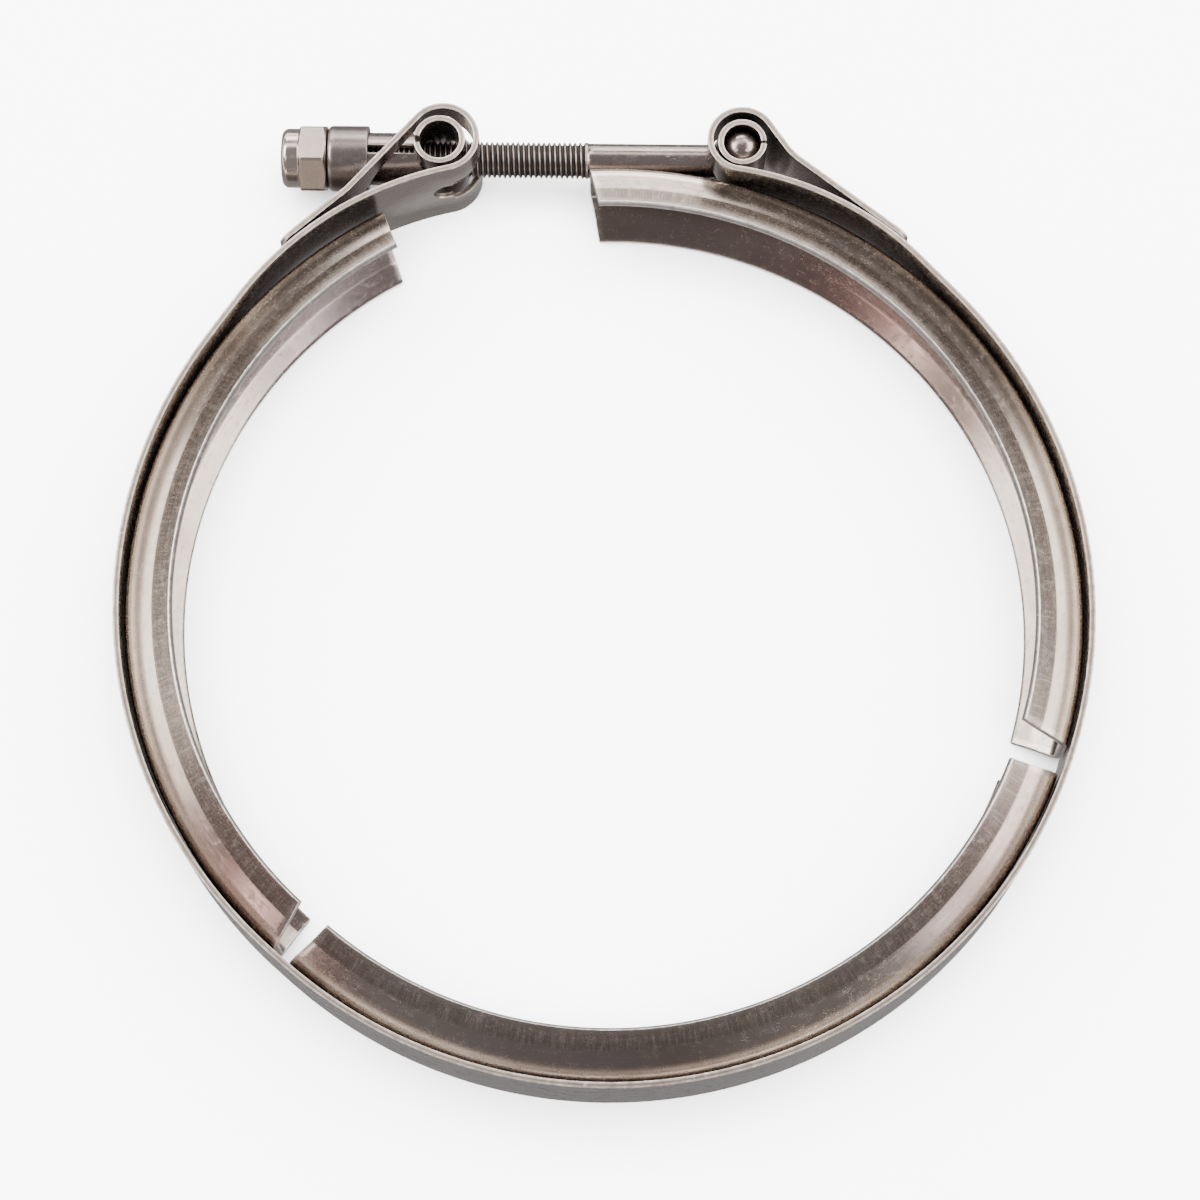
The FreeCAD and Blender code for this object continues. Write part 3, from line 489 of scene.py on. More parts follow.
def makeSteel(name, look):
    # one steel finish; look holds its colours, its roughness and how strong each effect is
    material, inputs = newMaterial(name)
    tree = material.node_tree
    inputs["Metallic"].default_value = 1.0
    spot = place(tree, "TexCoord").outputs["Object"]
    flat = place(tree, "UVMap", uv_map="UVMap").outputs[0]
    outside, mark = attribute(tree, "outside"), attribute(tree, "mark")
    lines = useGroup(tree, "lines", Vector=flat, Along=look.along, Across=look.across)[0]
    marks = useGroup(tree, "marks", Vector=flat, Size=look.markSize)
    cloud = noise(tree, spot, look.cloudScale, *effects["cloudNoise"])
    colour = mixColour(tree, remap(tree, cloud, *effects["cloudRange"]), look.base, look.stain)
    if look.bend:
        # painted highlight: the outside of the web's bends is painted pale where light would be seen mirrored
        # there; the width coordinate picks it out
        across = calc(tree, "ABSOLUTE", place(tree, "SeparateXYZ", {0: flat}).outputs[1])
        rise = remap(tree, across, *look.bend[:2], ease="SMOOTHSTEP")
        fall = remap(tree, across, *look.bend[2:], 1.0, 0.0, ease="SMOOTHSTEP")
        band = times(tree, times(tree, rise, fall), outside)
        colour = mixColour(tree, times(tree, band, look.bendAmount), colour, look.bendColour)
    # each patch mixes its colour in: heat tint, painted reflection and painted shade, some on the outside only
    for blooms, onlyOutside in ((look.blooms, False), (look.outerBlooms, True)):
        for centre, reach, tint, amount in blooms:
            patch = useGroup(tree, "patch", Vector=spot, Centre=centre, Reach=reach)[0]
            if onlyOutside:
                patch = times(tree, patch, outside)
            colour = mixColour(tree, times(tree, patch, amount), colour, tint)
    # mark colour: weld heat tint on the strap, painted shade along the retainers' lips and in the thread's
    # roots
    colour = mixColour(tree, times(tree, mark, look.markTint, True), colour, look.markColour or look.stain)
    streaks = remap(tree, lines, *effects["lineRange"], 0.0, look.lineTint)
    colour = mixColour(tree, streaks, colour, look.stain)
    if look.crossLines:
        along, across = effects["crossScale"]
        brushed = useGroup(tree, "lines", Vector=flat, Along=along, Across=across)[0]
        pale = remap(tree, brushed, *effects["crossRange"], 0.0, look.crossLines)
        colour = mixColour(tree, times(tree, pale, mark, True), colour, look.bright)
    colour = mixColour(tree, times(tree, marks["Specks"], look.specks), colour, effects["speckColour"])
    colour = mixColour(tree, times(tree, marks["Scratches"], look.scratches), colour, look.bright)
    colour = mixColour(tree, useGroup(tree, "shine", Vector=spot, Wear=look.wear)[0], colour, look.bright)
    spread = look.roughness - look.roughSpread, look.roughness + look.roughSpread
    rough = remap(tree, lines, *effects["lineRange"], *spread)
    rough = calc(tree, "ADD", rough, times(tree, marks["Scuffs"], look.scuffs))
    rough = calc(tree, "ADD", rough, times(tree, mark, look.markRough), True)
    height = calc(tree, "ADD", times(tree, lines, look.lineHeight),
                  times(tree, marks["Scratches"], -look.scratchHeight))
    pits = times(tree, noise(tree, spot, look.pitScale, *effects["pitNoise"]), look.pitHeight)
    bump = place(tree, "Bump",
                 {"Height": calc(tree, "ADD", height, pits), "Strength": 1.0, "Distance": mm})
    tree.links.new(colour, inputs["Base Color"])
    tree.links.new(rough, inputs["Roughness"])
    tree.links.new(bump.outputs[0], inputs["Normal"])
    return material


def steelLook(**changes):
    # satin stainless sheet; each finish below says only what differs
    usual = dict(base=(0.30, 0.258, 0.222, 1), stain=(0.17, 0.138, 0.116, 1), bright=(0.62, 0.56, 0.50, 1),
                 roughness=0.23, roughSpread=0.05, scuffs=0.10, along=0.06, across=2.2, lineTint=0.35,
                 lineHeight=0.010, scratches=0.6, scratchHeight=0.006, specks=0.6, markSize=0.7, wear=0.5,
                 cloudScale=26.0, pitScale=2600.0, pitHeight=0.006, markTint=0.0, markColour=None,
                 markRough=0.0, crossLines=0.0, bend=None, blooms=(), outerBlooms=())
    return named({**usual, **changes})


# patches are centre in metres, reach, colour and strength; the strap's are painted reflection and painted
# shade, the retainers' heat tint and painted shade
steels = {
    "strapSteel": steelLook(
        base=(0.36, 0.33, 0.305, 1), stain=(0.24, 0.21, 0.19, 1), roughness=0.24, markTint=0.35,
        lineTint=0.2, lineHeight=0.003, pitHeight=0.0015,
        # painted reflection: the strap is painted near-white near the top of the ring, where its steel would
        # mirror the pale floor
        blooms=[((-0.016, 0.076, 0.0), 0.024, (0.95, 0.91, 0.86, 1), 1.0)],
        # painted shade: the strap's outside is painted darker, most at the bottom, where its steel would mirror
        # the shadowed floor beside it
        outerBlooms=[((-0.01, -0.082, 0.0), 0.11, (0.085, 0.067, 0.062, 1), 0.9),
                     ((-0.075, -0.03, 0.0), 0.07, (0.17, 0.138, 0.12, 1), 0.6),
                     ((0.075, 0.03, 0.0), 0.08, (0.18, 0.148, 0.13, 1), 0.6)]),
    "cutEdge": steelLook(base=(0.30, 0.245, 0.205, 1), stain=(0.16, 0.125, 0.10, 1),
                         bright=(0.76, 0.68, 0.61, 1), roughness=0.40, along=1.2, across=9.0,
                         lineTint=0.6, lineHeight=0.03, specks=0.1,
                         wear=0.95, pitHeight=0.04, pitScale=1400.0),
    "retainerSteel": steelLook(
        base=(0.265, 0.228, 0.203, 1), roughness=0.20, bend=(3.6, 4.6, 5.5, 6.9), bendAmount=0.8,
        bendColour=(0.86, 0.76, 0.65, 1), across=1.6, lineTint=0.3, lineHeight=0.003, pitHeight=0.001,
        # the mark colour darkens the lip band as painted shade; the band is also brushed and roughened
        markTint=0.6, markRough=0.06, markColour=(0.12, 0.095, 0.08, 1), crossLines=0.2, specks=0.4,
        scratches=0.14, markSize=1.1,
        # the pink, copper and lilac patches are heat tint; the two darker patches, at the top and at the bottom
        # of the ring, are painted shade
        blooms=[((-0.058, -0.048, 0.007), 0.030, (0.20, 0.115, 0.098, 1), 0.85),
                ((0.042, 0.055, -0.007), 0.042, (0.165, 0.092, 0.080, 1), 0.9),
                ((0.060, -0.043, 0.007), 0.022, (0.27, 0.185, 0.175, 1), 0.6),
                ((-0.045, 0.05, -0.007), 0.034, (0.17, 0.125, 0.135, 1), 0.7),
                ((0.012, 0.074, -0.007), 0.035, (0.13, 0.095, 0.093, 1), 0.7),
                ((-0.01, -0.075, 0.007), 0.045, (0.17, 0.14, 0.138, 1), 0.6)]),
    "lipEdge": steelLook(base=(0.50, 0.45, 0.42, 1), stain=(0.26, 0.22, 0.20, 1), bright=(0.95, 0.92, 0.88, 1),
                         roughness=0.34, along=1.0, across=6.0, lineTint=0.7, lineHeight=0.03, specks=0.1,
                         wear=1.2, pitHeight=0.06, pitScale=1800.0),
    # the bolt's mark colour is the painted shade in the thread's roots
    "boltSteel": steelLook(base=(0.29, 0.245, 0.23, 1), stain=(0.16, 0.13, 0.12, 1), roughness=0.21, along=0.25,
                           across=0.9, lineTint=0.3, scratches=0.3, wear=0.6, markTint=0.9,
                           markColour=(0.03, 0.025, 0.022, 1), markRough=0.3),
    "rolledSteel": steelLook(base=(0.30, 0.26, 0.24, 1), stain=(0.17, 0.14, 0.13, 1), roughness=0.24, wear=0.6),
    "cupSteel": steelLook(base=(0.23, 0.20, 0.19, 1), stain=(0.16, 0.135, 0.13, 1), roughness=0.30, along=2.0,
                          across=0.15, wear=0.3),
    "nutSteel": steelLook(base=(0.50, 0.44, 0.40, 1), stain=(0.38, 0.32, 0.285, 1),
                          bright=(0.75, 0.72, 0.68, 1), roughness=0.17, roughSpread=0.04, scuffs=0.06,
                          lineTint=0.15, lineHeight=0.003,
                          specks=0.15, wear=0.4, pitHeight=0.002, along=1.4, across=0.4),
}
finishes = {name: makeSteel(name, look) for name, look in steels.items()}


nylonLook = {
    "dark": (0.62, 0.58, 0.50, 1),
    "pale": (0.72, 0.69, 0.62, 1),
    "noise": (500.0, 4.0),
    "roughness": (0.2, 0.8, 0.42, 0.6),  # noise from and to, roughness from and to
    "bump": 0.4,
    "bumpDepth": 0.0001,  # metres
}


def makeNylon():
    # off-white insert with a faint grain
    look = named(nylonLook)
    material, inputs = newMaterial("nylonInsert")
    tree = material.node_tree
    cloud = noise(tree, place(tree, "TexCoord").outputs["Object"], *look.noise)
    tree.links.new(mixColour(tree, cloud, look.dark, look.pale), inputs["Base Color"])
    tree.links.new(remap(tree, cloud, *look.roughness), inputs["Roughness"])
    bump = place(tree, "Bump", {"Height": cloud, "Strength": look.bump, "Distance": look.bumpDepth})
    tree.links.new(bump.outputs[0], inputs["Normal"])
    return material


print("finishes ready:", len(finishes) + 1)

# strap: one folded sheet, made as two halves that meet under the middle retainer

strapSizes = {
    "ring": 79.7,  # middle of the sheet
    "seam": 284.0,  # where the halves meet, degrees from +X
    "thickness": 1.0,
    "halfWidth": 9.525,
    "rounding": 0.11,  # sheared edges
    "tipCorner": 2.0,
    "columns": 18,
    "spacing": (0.3, 1.5, 3.0),  # finest, coarsest, and degrees of bend to a step
    "tailSpacing": (14.0, 3.0, 0.35),  # round the welds: from and to off the tail's end, step
    "weldSpots": [(4.6, 4.6), (10.4, 4.6)],  # from the tail's end, off mid width
    "weldSize": 1.7,
    "weldDepth": 0.10,
    "weldLip": (1.25, 0.25, 0.25),  # radius and width in weld sizes, height in depths
    "weldTint": (0.7, 0.55),  # radius and width
    "points": {"armSlot": 14, "step": 5, "boltSlot": 22, "tip": 8, "bare": 13},
}
strapHalves = {
    "strap_left": {
        "side": 1,
        "steps": [(76.9238, -55.3), (3.1992, -0.2), (115.2883, -82.88), (8.2, 0.0), (44.1291, -43.4116),
                  (21.8869, 216.2116), (17.4503, 0.0), (1.1781, -7.5), (14.0201, 0.0)],
        "foot": 5,
        "body": "left_arm",
        "bare": (228.7, 3.2),
    },
    "strap_right": {
        "side": -1,
        "steps": [(76.9238, -55.3), (4.7296, -2.86), (84.1572, -60.5), (8.2, 0.0), (36.1440, -38.2269),
                  (21.7546, 226.6269), (5.6813, 0.0), (2.7489, -17.5), (23.3270, 0.0)],
        "foot": 5,
        "body": "right_arm",
        "bare": (339.3, 4.73),
    },
}
armSlot = {"start": -0.9, "startHalf": 2.4, "toBolt": 0.18, "boltEase": 0.4, "boltHalf": 3.6,
           "toArms": 15.5, "armEase": 0.5, "armHalf": 6.0, "end": 27.9, "endReach": 9.7}
boltSlot = {"centre": 7.48, "half": 3.6, "flat": 0.8, "bend": 5.5, "mostTurn": 1.5}


def armSlotHalf(s):
    # a round end z = sqrt(r^2 - s^2), a step to the bolt's width, a step to the arms' width, then a long oval
    # end z = half sqrt(1 - (s / reach)^2), which leaves the cup room to swing
    slot = named(armSlot)
    z = np.sqrt(np.maximum(slot.startHalf**2 - np.minimum(s - slot.start, 0) ** 2, 0))
    z = z + (slot.boltHalf - slot.startHalf) * smoothStep(s, slot.toBolt, slot.toBolt + slot.boltEase)
    z = z + (slot.armHalf - slot.boltHalf) * smoothStep(s, slot.toArms, slot.toArms + slot.armEase)
    share = np.maximum(s - slot.end, 0) / slot.endReach
    return np.where(s > slot.end, slot.armHalf * np.sqrt(np.maximum(1 - share**2, 0)), z)


def boltSlotHalf(s):
    # an upright slot seen square on: its ends are round in height y = R sin(s / R) over the bend
    slot = named(boltSlot)
    y = slot.bend * np.sin(np.clip((s - slot.centre) / slot.bend, -slot.mostTurn, slot.mostTurn))
    return np.sqrt(np.maximum(slot.half**2 - np.maximum(np.abs(y) - slot.flat, 0) ** 2, 0))


def makeStrapHalf(name, half):
    # the sheet's middle line from the seam to the tail's tip, spread to a band with its slot and welds
    side, steps, sizes = half["side"], half["steps"], named(strapSizes)
    points = named(sizes.points)
    length = sum(step[0] for step in steps)
    foot = sum(step[0] for step in steps[: half["foot"]])
    tip = length - sizes.tipCorner
    if side > 0:
        slotHalf, slot = armSlotHalf, named(armSlot)
        ends = [slot.start - slot.startHalf * quarter(points.armSlot),
                slot.end + slot.endReach * quarter(points.armSlot),
                slot.toBolt + np.linspace(0, slot.boltEase, points.step),
                slot.toArms + np.linspace(0, slot.armEase, points.step)]
    else:
        slotHalf, slot = boltSlotHalf, named(boltSlot)
        top = slot.bend * math.asin((slot.half + slot.flat) / slot.bend) * quarter(points.boltSlot)
        ends = [slot.centre + top, slot.centre - top]
    first, last, gap = sizes.tailSpacing
    bare = steps[0][0] + np.linspace(0, steps[1][0], points.bare)
    extra = join([foot + join(ends), np.arange(length - first, length - last, gap), bare,
                  tip + sizes.tipCorner * quarter(points.tip), length - easeSteps(sizes.rounding)])
    stations = stationsAlong(steps, *sizes.spacing, extra)
    places, normals = walkPath(sizes.ring * direction(sizes.seam), sizes.seam - 90 * side, side, steps,
                               stations)
    away = np.maximum(stations - tip, 0)
    width = sizes.halfWidth - sizes.tipCorner + np.sqrt(np.maximum(sizes.tipCorner**2 - away**2, 0))

    def weld(s, z):
        # shallow round dents, depth x (exp(-r^4) less a raised lip), and a heat ring, both bells of distance r
        dent, mark = np.zeros(z.shape), np.zeros(z.shape)
        (lip, lipWidth, rise), (ring, ringWidth) = sizes.weldLip, sizes.weldTint
        for back, off in sizes.weldSpots:
            r = np.hypot(s - (length - back), z - off) / sizes.weldSize
            dent += sizes.weldDepth * (np.exp(-r**4) - rise * np.exp(-((r - lip) / lipWidth) ** 2))
            mark += np.exp(-((r - ring) / ringWidth) ** 2)
        return dent, mark

    sheet = Sheet()
    addBand(sheet, places, normals, stations, slotHalf(stations - foot), width, sizes.thickness,
            sizes.rounding, sizes.columns, caps=(False, True), weld=weld, way=side)
    piece = sheet.build(name, [finishes["strapSteel"], finishes["cutEdge"]])
    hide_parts("strap")
    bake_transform(piece)


for name, half in strapHalves.items():
    makeStrapHalf(name, half)
print("strap folded")

# retainers: three bent channels

retainerSizes = {
    "sheet": 1.3,
    "web": 3.596,  # straight half of the web
    "webBend": (1.95, 68.0),  # radius and turn of the bend between web and flank
    "flank": 3.612,
    "crease": (1.0, -9.0),
    "lip": 3.649,
    "middle": 78.35,  # radius of the web's middle surface
    "landRadius": 70.4,  # the lips' clamping edge is ground flat to this radius
    "sweep": 55.3,  # half of its turn round the ring
    "setback": 1.1,  # how far the lips end before the web
    "rounding": 0.13,
    "spacing": (0.15, 0.45, 7.0),
    "arcPoints": 121,
    "uvRadius": 75.0,
    "lipBand": (-0.5, 0.4, 1.2, 0.5),  # brushed, roughened and painted darker as shade, from the lip's start on, up to its edge
}
retainers = {
    "retainer_middle": {"angle": 284.0, "turn": 0.0, "shift": (0.0, 0.0), "body": "base"},
    "retainer_left": {"angle": 171.1, "turn": 2.1, "shift": (-2.19107, 1.93169), "body": "left_arm"},
    "retainer_right": {"angle": 38.0, "turn": -0.54, "shift": (0.247895, 0.709068), "body": "right_arm"},
}


def makeRetainer(name, seat):
    # the section, walked from the web's middle out to a lip and mirrored, is carried round the ring;
    # its ends lie on straight cuts: the end angle falls off in step with the radius
    sizes = named(retainerSizes)
    steps = [(sizes.web, 0.0)]
    for (radius, turn), straight in ((sizes.webBend, sizes.flank), (sizes.crease, sizes.lip)):
        steps += [(radius * math.radians(abs(turn)), turn), (straight, 0.0)]
    length = sum(step[0] for step in steps)
    rims = easeSteps(sizes.rounding)[:, None]
    stations = stationsAlong(steps, *sizes.spacing, length - rims[:, 0])
    # in the section plane x is the radius and y the height; it starts along +y
    half, out = walkPath((sizes.middle, 0, 0), 90.0, 1, steps, stations)
    section = join([half[:0:-1] * (1, -1, 1), half])
    normal = -join([out[:0:-1] * (1, -1, 1), out])
    fromWeb = join([-stations[:0:-1], stations])
    radius = section[:, 0]
    webTop, lipTop = sizes.middle + sizes.sheet / 2, sizes.landRadius
    end = sizes.sweep - sizes.setback * (webTop - radius) / (webTop - lipTop)
    eased = end - np.degrees(rims / radius)
    arc = join([-eased[:-1], eased[-1] * np.linspace(-1, 1, sizes.arcPoints)[:, None], eased[-2::-1]])
    rim = np.minimum(np.radians(end - np.abs(arc)) * radius, length - np.abs(fromWeb))
    turn = np.radians(arc + seat["angle"] + seat["turn"])
    spin = np.stack([np.cos(turn), np.sin(turn)], -1)
    shift = np.array(seat["shift"])

    def carried(plane):
        # (radius, height) pairs turned about the ring's axis: r (cos t, sin t), h
        return join([spin * plane[:, :1], np.broadcast_to(plane[:, 1:2], (*arc.shape, 1))], -1)

    def land(points):
        # nothing reaches inside the clamping radius
        flat = points[:, :2] - shift
        reach = np.linalg.norm(flat, axis=1, keepdims=True)
        points[:, :2] = shift + flat * np.maximum(1, sizes.landRadius / reach)
        return points

    middle = carried(section)
    middle[..., :2] += shift
    uv = np.stack([np.radians(arc) * sizes.uvRadius, np.broadcast_to(fromWeb, arc.shape)], -1)
    off, (start, full, fade, none) = np.abs(fromWeb), sizes.lipBand
    lipStart = length - sizes.lip
    lipBand = smoothStep(off, lipStart + start, lipStart + full)
    lipBand *= 1 - smoothStep(off, length - fade, length - none)
    sheet = Sheet()
    sheet.wall(middle, carried(normal), rimHalf(rim, sizes.sheet / 2, sizes.rounding), uv, rim,
               sizes.rounding, marks=lipBand, clip=land)
    piece = sheet.build(name + "_channel", [finishes["retainerSteel"], finishes["lipEdge"]])
    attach(piece, seat["body"])
    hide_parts(name)


for name, seat in retainers.items():
    makeRetainer(name, seat)
print("retainers rolled")

# T-bolt with its sleeve

boltSizes = {
    "head": (22.9306, 82.6700),
    "trunnion": (-29.4124, 83.1935),
    "start": 0.5,  # hidden in the cross bar
    "shankRadius": 3.0,
    "shankLength": 26.6,
    "shoulder": (0.1, 0.05, 0.15),  # run before the thread, its rise, and run after it
    "threadRadius": 3.175,
    "threadDepth": 0.53,
    "pitch": 25.4 / 28,
    "runIn": (0.2, 1.0),  # where the thread reaches its full depth
    "roundFlank": (0.18, 0.86, 0.35),  # root, crest and share of the eased flank
    "straightFlank": (0.16, 0.88),
    "shiny": (0.46, 0.53),  # painted highlight on the crests, from the root
    "dirty": (0.2, 0.5, 0.55),  # painted shade in the roots: from, to and how much of the dark goes
    "length": 79.085,
    "tipChamfer": 0.8,
    "barRadius": 3.1,
    "barHalf": 8.5,
    "barDome": 2.8,
    "points": {"shank": 30, "pitch": 12, "around": 64, "dome": 12, "barAround": 56},
    "barGap": 0.5,  # longest step along the bar
}
headCentre = np.array([*boltSizes["head"], 0.0])
trunnionCentre = np.array([*boltSizes["trunnion"], 0.0])
boltWay = (trunnionCentre - headCentre) / np.linalg.norm(trunnionCentre - headCentre)
ringAxis = np.array([0, 0, 1.0])
boltUp = np.cross(ringAxis, -boltWay)


def threadShape(along, radius, angle):
    # height above the root: a wave of (distance / pitch - angle / turn), flat at crest and root,
    # eased in at the shank and cut by the tip's cone
    sizes = named(boltSizes)
    phase = along / sizes.pitch - angle / (2 * np.pi)
    wave = np.abs(2 * (phase - np.floor(phase)) - 1)
    (root, crest, share), (low, high) = sizes.roundFlank, sizes.straightFlank
    tooth = smoothStep(wave, root, crest) * share + np.clip((wave - low) / (high - low), 0, 1) * (1 - share)
    first, full = sizes.runIn
    fade = smoothStep(along, sizes.shankLength + first, sizes.shankLength + full)
    thread = sizes.threadRadius - sizes.threadDepth * fade * (1 - tooth)
    cone = sizes.threadRadius - sizes.tipChamfer + (sizes.length - along)
    shaped = np.minimum(thread, np.maximum(cone, 0))
    return np.where(along > sizes.shankLength + sizes.shoulder[2], np.minimum(shaped, radius), radius)


def makeBolt():
    # shank and thread turned about the bolt's line, and a domed cross bar across it
    sizes = named(boltSizes)
    points = named(sizes.points)
    before, rise, after = sizes.shoulder
    threadStart = sizes.shankLength + after
    shank, count = points.shank, int((sizes.length - threadStart) / sizes.pitch * points.pitch)
    along = join([[sizes.start], np.linspace(sizes.start, sizes.shankLength - before, shank),
                  [sizes.shankLength], np.linspace(threadStart, sizes.length, count), [sizes.length]])
    radius = join([[0], np.full(shank, sizes.shankRadius), [sizes.shankRadius + rise],
                   np.full(count, sizes.threadRadius), [0]])
    places, faces, cut, uv, edge, mark = turned(headCentre, boltWay, boltUp, np.stack([along, radius], -1),
                                                points.around, closed=False, shape=threadShape)
    far = (places - headCentre) @ boltWay
    reach = np.linalg.norm(places - headCentre - np.outer(far, boltWay), axis=1)
    onThread = far > threadStart
    height = reach - (sizes.threadRadius - sizes.threadDepth)
    # painted shade darkens the thread's roots and a painted highlight brightens its crests
    low, high, share = sizes.dirty
    edge = np.where(onThread, smoothStep(height, *sizes.shiny), 0.0)
    mark = np.where(onThread, 1 - share * smoothStep(height, low, high), 0.0)
    half, dome = sizes.barHalf, sizes.barDome
    ends = loopProfile([(-half, 0), (-half, sizes.barRadius), (half, sizes.barRadius), (half, 0)],
                       (0, dome, dome, 0), points.dome)
    bar = turned(headCentre, ringAxis, boltUp, fineLine(ends, sizes.barGap, closed=False), points.barAround,
                 closed=False)
    sheet = Sheet().add(places, faces, cut, uv, edge, mark).add(*bar[:4], bar[4] * 0, bar[5])
    piece = sheet.build("t_bolt_threaded", [finishes["boltSteel"]], sharp=60)
    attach(piece, "right_arm")
    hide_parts("t_bolt")


sleeveSizes = {
    "radius": 3.72,  # middle of the sheet
    "wall": 1.0,
    "half": 9.0,
    "slit": 0.5,
    "rounding": 0.16,
    "hole": 3.12,  # round the shank
}


barrelPoints = {"spacing": (0.2, 1.0, 4.0), "hole": 16, "columns": 16}


def addBarrel(sheet, centre, forward, sizes, through):
    # a rolled tube with its slit at forward; a round hole of radius R square to it cuts
    # z^2 = R^2 - (r sin a)^2 out of the far side, or through both sides
    radius = sizes.radius
    gap = math.asin(sizes.slit / 2 / radius)
    length = 2 * (math.pi - gap) * radius
    reach = math.asin(sizes.hole / radius) * radius * quarter(barrelPoints["hole"])
    fromSlit = reach - gap * radius
    fromSlit = fromSlit[(fromSlit > 0) & through]
    rims = easeSteps(sizes.rounding)
    stations = stationsAlong([(length, math.degrees(length / radius))], *barrelPoints["spacing"],
                             join([rims, length - rims, length / 2 + reach, length / 2 - reach,
                                             fromSlit, length - fromSlit]))
    turn = gap + stations / radius
    out = np.cos(turn)[:, None] * forward + np.sin(turn)[:, None] * np.cross(ringAxis, forward)
    hole = np.sqrt(np.maximum(sizes.hole**2 - (radius * np.sin(turn)) ** 2, 0))
    addBand(sheet, centre + out * radius, out, stations, hole * (through | (np.cos(turn) < 0)),
            np.full(len(stations), sizes.half), sizes.wall, sizes.rounding, barrelPoints["columns"])


def makeBoltSleeve():
    # a split tube round the cross bar, holed on the shank's side
    sheet = Sheet()
    addBarrel(sheet, headCentre, -boltWay, named(sleeveSizes), False)
    piece = sheet.build("bolt_sleeve_rolled", [finishes["rolledSteel"], finishes["cutEdge"]])
    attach(piece, "right_arm")
    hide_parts("bolt_sleeve")


makeBolt()
makeBoltSleeve()
print("bolt threaded")

# trunnion: rolled barrel with two half-round arms, its cup, and the lock nut

trunnionSizes = {
    "radius": 3.95,  # middle of the sheet
    "wall": 1.0,
    "half": 9.0,
    "slit": 1.3,
    "hole": 3.625,  # bolt way through the barrel and along the arms
    "armWall": 0.95,
    "armEnd": 18.6,
    "armOverlap": 0.2,  # arms into the barrel's wall
    "armPoints": 26,
    "armSpacing": (0.15, 1.0, 5.0),
    "rounding": 0.14,
}


def makeTrunnion():
    # the barrel, and two half tubes about the bolt's line from the barrel's wall to their ends
    sizes = named(trunnionSizes)
    sheet = Sheet()
    addBarrel(sheet, trunnionCentre, boltWay, sizes, True)
    arm = sizes.hole + sizes.armWall / 2
    rims = easeSteps(sizes.rounding)
    start = math.asin(sizes.slit / 2 / arm)
    arcLength = (math.pi - 2 * start) * arm
    around = stationsAlong([(arcLength, math.degrees(arcLength / arm))], *sizes.armSpacing,
                           join([rims, arcLength - rims]))
    angle = start + around / arm
    share = np.linspace(0, 1, sizes.armPoints)[:, None]
    for side in (1, -1):
        up, across = arm * np.sin(angle) * side, arm * np.cos(angle)
        root = np.sqrt(np.maximum(sizes.radius**2 - up**2, 0)) - sizes.armOverlap
        along = root + (sizes.armEnd - sizes.rounding - root) * share
        along = join([along, np.repeat(sizes.armEnd - rims[::-1][1:, None], len(around), 1)])
        out = (up[:, None] * boltUp + across[:, None] * ringAxis) / arm
        rim = np.minimum(np.minimum(around, arcLength - around), sizes.armEnd - along)
        sheet.wall(trunnionCentre + along[..., None] * boltWay + arm * out, np.repeat(out[None], len(along), 0),
                   rimHalf(rim, sizes.armWall / 2, sizes.rounding),
                   np.stack([along, np.broadcast_to(around, along.shape)], -1), rim, sizes.rounding)
    piece = sheet.build("trunnion_rolled", [finishes["rolledSteel"], finishes["cutEdge"]])
    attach(piece, "trunnion")
    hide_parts("trunnion")


cupSizes = {
    "mouth": 12.63,  # places along the bolt, from the barrel's centre
    "face": 19.83,
    "floor": 18.63,
    "outer": 5.705,
    "inner": 4.605,
    "bore": 3.625,
    "rounds": (0.1, 0.22, 1.9, 0.15, 0.1, 0.3),  # corners in turn from the mouth, inside first
    "roundPoints": 9,
    "gap": 0.5,
    "columns": 96,
}


def makeCup():
    # a drawn cup: its wall's section turned about the bolt's line
    sizes = named(cupSizes)
    outline = loopProfile([(sizes.mouth, sizes.inner), (sizes.mouth, sizes.outer), (sizes.face, sizes.outer),
                           (sizes.face, sizes.bore), (sizes.floor, sizes.bore), (sizes.floor, sizes.inner)],
                          sizes.rounds, sizes.roundPoints)
    sheet = Sheet().add(*turned(trunnionCentre, boltWay, boltUp, fineLine(outline, sizes.gap), sizes.columns))
    piece = sheet.build("trunnion_cup_drawn", [finishes["cupSteel"]], sharp=50)
    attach(piece, "trunnion")
    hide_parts("trunnion_cup")


nutSizes = {
    "seat": 19.88,  # its face along the bolt
    "hexLength": 4.9,
    "length": 7.9,
    "flats": 11.11,
    "turn": 5.5,  # degrees
    "faceChamfer": 0.15,
    "waist": 0.25,  # step between hexagon and collar
    "collar": 5.15,
    "bore": 3.235,
    "boreChamfer": 0.3,
    "pocket": 4.45,
    "pocketLength": 2.2,
    "lip": 0.7,
    "lipFlare": 0.1,
    "cornerRadius": 0.12,
    # corners in turn from the seat's outer rim to the collar, then the bore
    "rounds": (0, 0.15, 0.1, 0.1, 0.15, 0, 1.5, 0, 0.05, 0, 0, 0, 0),
    "roundPoints": 10,
    "gap": 0.12,
    "columns": 216,
}


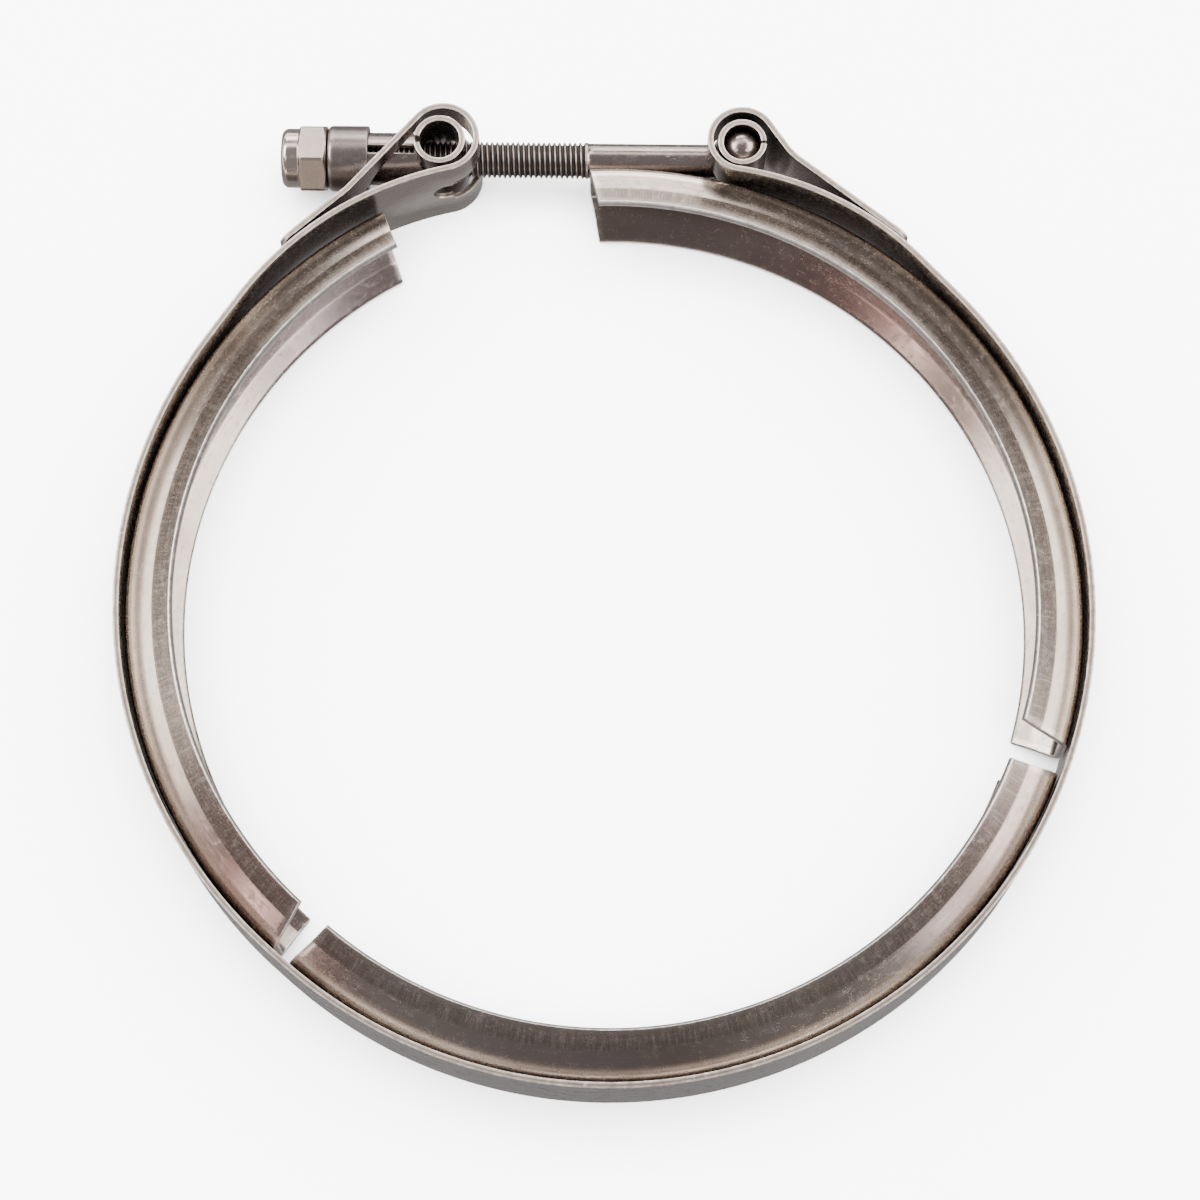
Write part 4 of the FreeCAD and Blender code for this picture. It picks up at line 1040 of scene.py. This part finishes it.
def makeNut():
    # collar, hexagon, bore and pocket turned as one section, its outside held to the six flats
    sizes = named(nutSizes)
    apex = math.radians(30)
    corner = sizes.flats / 2 / math.cos(apex)
    flat = sizes.flats / 2 - sizes.faceChamfer
    rise = (corner - flat) * math.tan(apex)
    hexEnd, end, bore, collar = sizes.hexLength, sizes.length, sizes.bore, sizes.collar
    lipStart, lip = end - sizes.lip, bore + sizes.lip
    pocketStart = lipStart - sizes.pocketLength
    outline = loopProfile([(0, bore + sizes.boreChamfer), (0, flat), (rise, corner), (hexEnd - rise, corner),
                           (hexEnd, flat - sizes.waist), (hexEnd + sizes.waist, collar), (end, collar),
                           (end, lip), (lipStart, lip + sizes.lipFlare), (lipStart, sizes.pocket),
                           (pocketStart, sizes.pocket), (pocketStart, bore), (sizes.boreChamfer, bore)],
                          sizes.rounds, sizes.roundPoints)

    def hexagon(along, radius, angle):
        # radius held to the flats: a / cos(angle from the nearest flat's middle), with eased corners
        fromFlat = np.mod(angle - math.radians(sizes.turn), math.pi / 3) - math.pi / 6
        limit = np.minimum(sizes.flats / 2 / np.cos(fromFlat), corner - sizes.cornerRadius)
        return np.minimum(radius, limit)

    sheet = Sheet().add(*turned(trunnionCentre + sizes.seat * boltWay, boltWay, boltUp,
                                fineLine(outline, sizes.gap), sizes.columns, shape=hexagon))
    piece = sheet.build("lock_nut_turned", [finishes["nutSteel"]], sharp=24)
    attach(piece, "nut")
    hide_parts("lock_nut")


makeTrunnion()
makeCup()
makeNut()
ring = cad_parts["locking_ring"]
ring.data.materials.clear()
ring.data.materials.append(makeNylon())
print("trunnion, cup and nut ready")

# floor, light and camera

studio = {
    "floorHeight": -9.525,
    "floorHalf": 4.0,  # metres
    "floorRoughness": 0.9,
    "floorColour": (0.95, 0.95, 0.95, 1),
    "world": (0.52, 0.50, 0.505, 1),
    # azimuth and elevation in degrees, distance, width and height in metres, watts, colour, seen in the steel
    "boxes": [
        (164, 41, 1.27, 0.82, 0.66, 20.0, (1.0, 0.985, 0.95), True),
        (12, 42, 1.27, 1.00, 0.70, 25.0, (1.0, 0.985, 0.96), True),
        (96, 26, 1.4, 0.86, 0.40, 11.0, (1.0, 0.975, 0.96), True),
        (103, 56, 1.3, 0.75, 0.30, 3.0, (1.0, 0.93, 0.89), True),
        (62, 48, 1.3, 0.50, 0.28, 4.0, (1.0, 0.98, 0.97), True),
        (139, 50, 1.3, 0.50, 0.28, 4.0, (1.0, 0.98, 0.97), True),
        (90, 6, 1.5, 2.6, 0.28, 12.0, (1.0, 0.97, 0.93), True),
        (180, 6, 1.5, 2.6, 0.28, 9.0, (1.0, 0.97, 0.93), True),
        (0, 6, 1.5, 2.6, 0.28, 9.0, (1.0, 0.97, 0.93), True),
        (270, 10, 1.5, 2.4, 0.34, 16.0, (1.0, 0.97, 0.93), True),
        (207, 53, 1.3, 0.07, 0.46, 2.0, (1.0, 0.96, 0.94), True),
        (-27, 54, 1.3, 0.14, 0.46, 2.2, (0.97, 0.95, 1.0), True),
        (90, 86, 2.2, 2.2, 2.2, 420.0, (1.0, 1.0, 1.0), False),
    ],
}
floorMesh = bpy.data.meshes.new("floor")
corners = [(x * studio["floorHalf"], y * studio["floorHalf"], studio["floorHeight"] * mm)
           for x, y in ((-1, -1), (1, -1), (1, 1), (-1, 1))]
floorMesh.from_pydata(corners, [], [(0, 1, 2, 3)])
floor = addObject("floor", floorMesh)
paper, paperInputs = newMaterial("paleFloor")
paperInputs["Base Color"].default_value = studio["floorColour"]
paperInputs["Roughness"].default_value = studio["floorRoughness"]
floorMesh.materials.append(paper)
floor.visible_glossy = False  # the steel mirrors the dim room, not the lit paper

world = bpy.data.worlds.new("studio")
bpy.context.scene.world = world
world.use_nodes = True
world.node_tree.nodes["Background"].inputs[0].default_value = studio["world"]
for index, (azimuth, elevation, distance, width, height, watts, colour, seen) in enumerate(studio["boxes"]):
    lamp = bpy.data.lights.new("softbox%d" % index, "AREA")
    lamp.shape = "RECTANGLE"
    lamp.size, lamp.size_y = width, height
    lamp.energy = watts
    lamp.color = colour
    box = addObject(lamp.name, lamp)
    level = math.cos(math.radians(elevation))
    where = Vector((level * math.cos(math.radians(azimuth)), level * math.sin(math.radians(azimuth)),
                    math.sin(math.radians(elevation)))) * distance
    box.matrix_world = Matrix.Translation(where) @ where.to_track_quat("Z", "Y").to_matrix().to_4x4()
    box.visible_glossy = seen

view = {
    "place": (-0.4067, -146.797, 532.763),  # millimetres
    "tilt": 0.274206722,  # radians from straight down
    "pan": 0.00219504752,
    "lens": 98.52,
    "sensor": 36.0,
}
camera = bpy.data.cameras.new("camera")
camera.lens = view["lens"]
camera.sensor_width = view["sensor"]
cameraObject = addObject("camera", camera)
cameraObject.matrix_world = (Matrix.Translation(Vector(view["place"]) * mm)
                             @ Matrix.Rotation(view["tilt"], 4, "X") @ Matrix.Rotation(view["pan"], 4, "Y"))
bpy.context.scene.camera = cameraObject
print("studio lit")
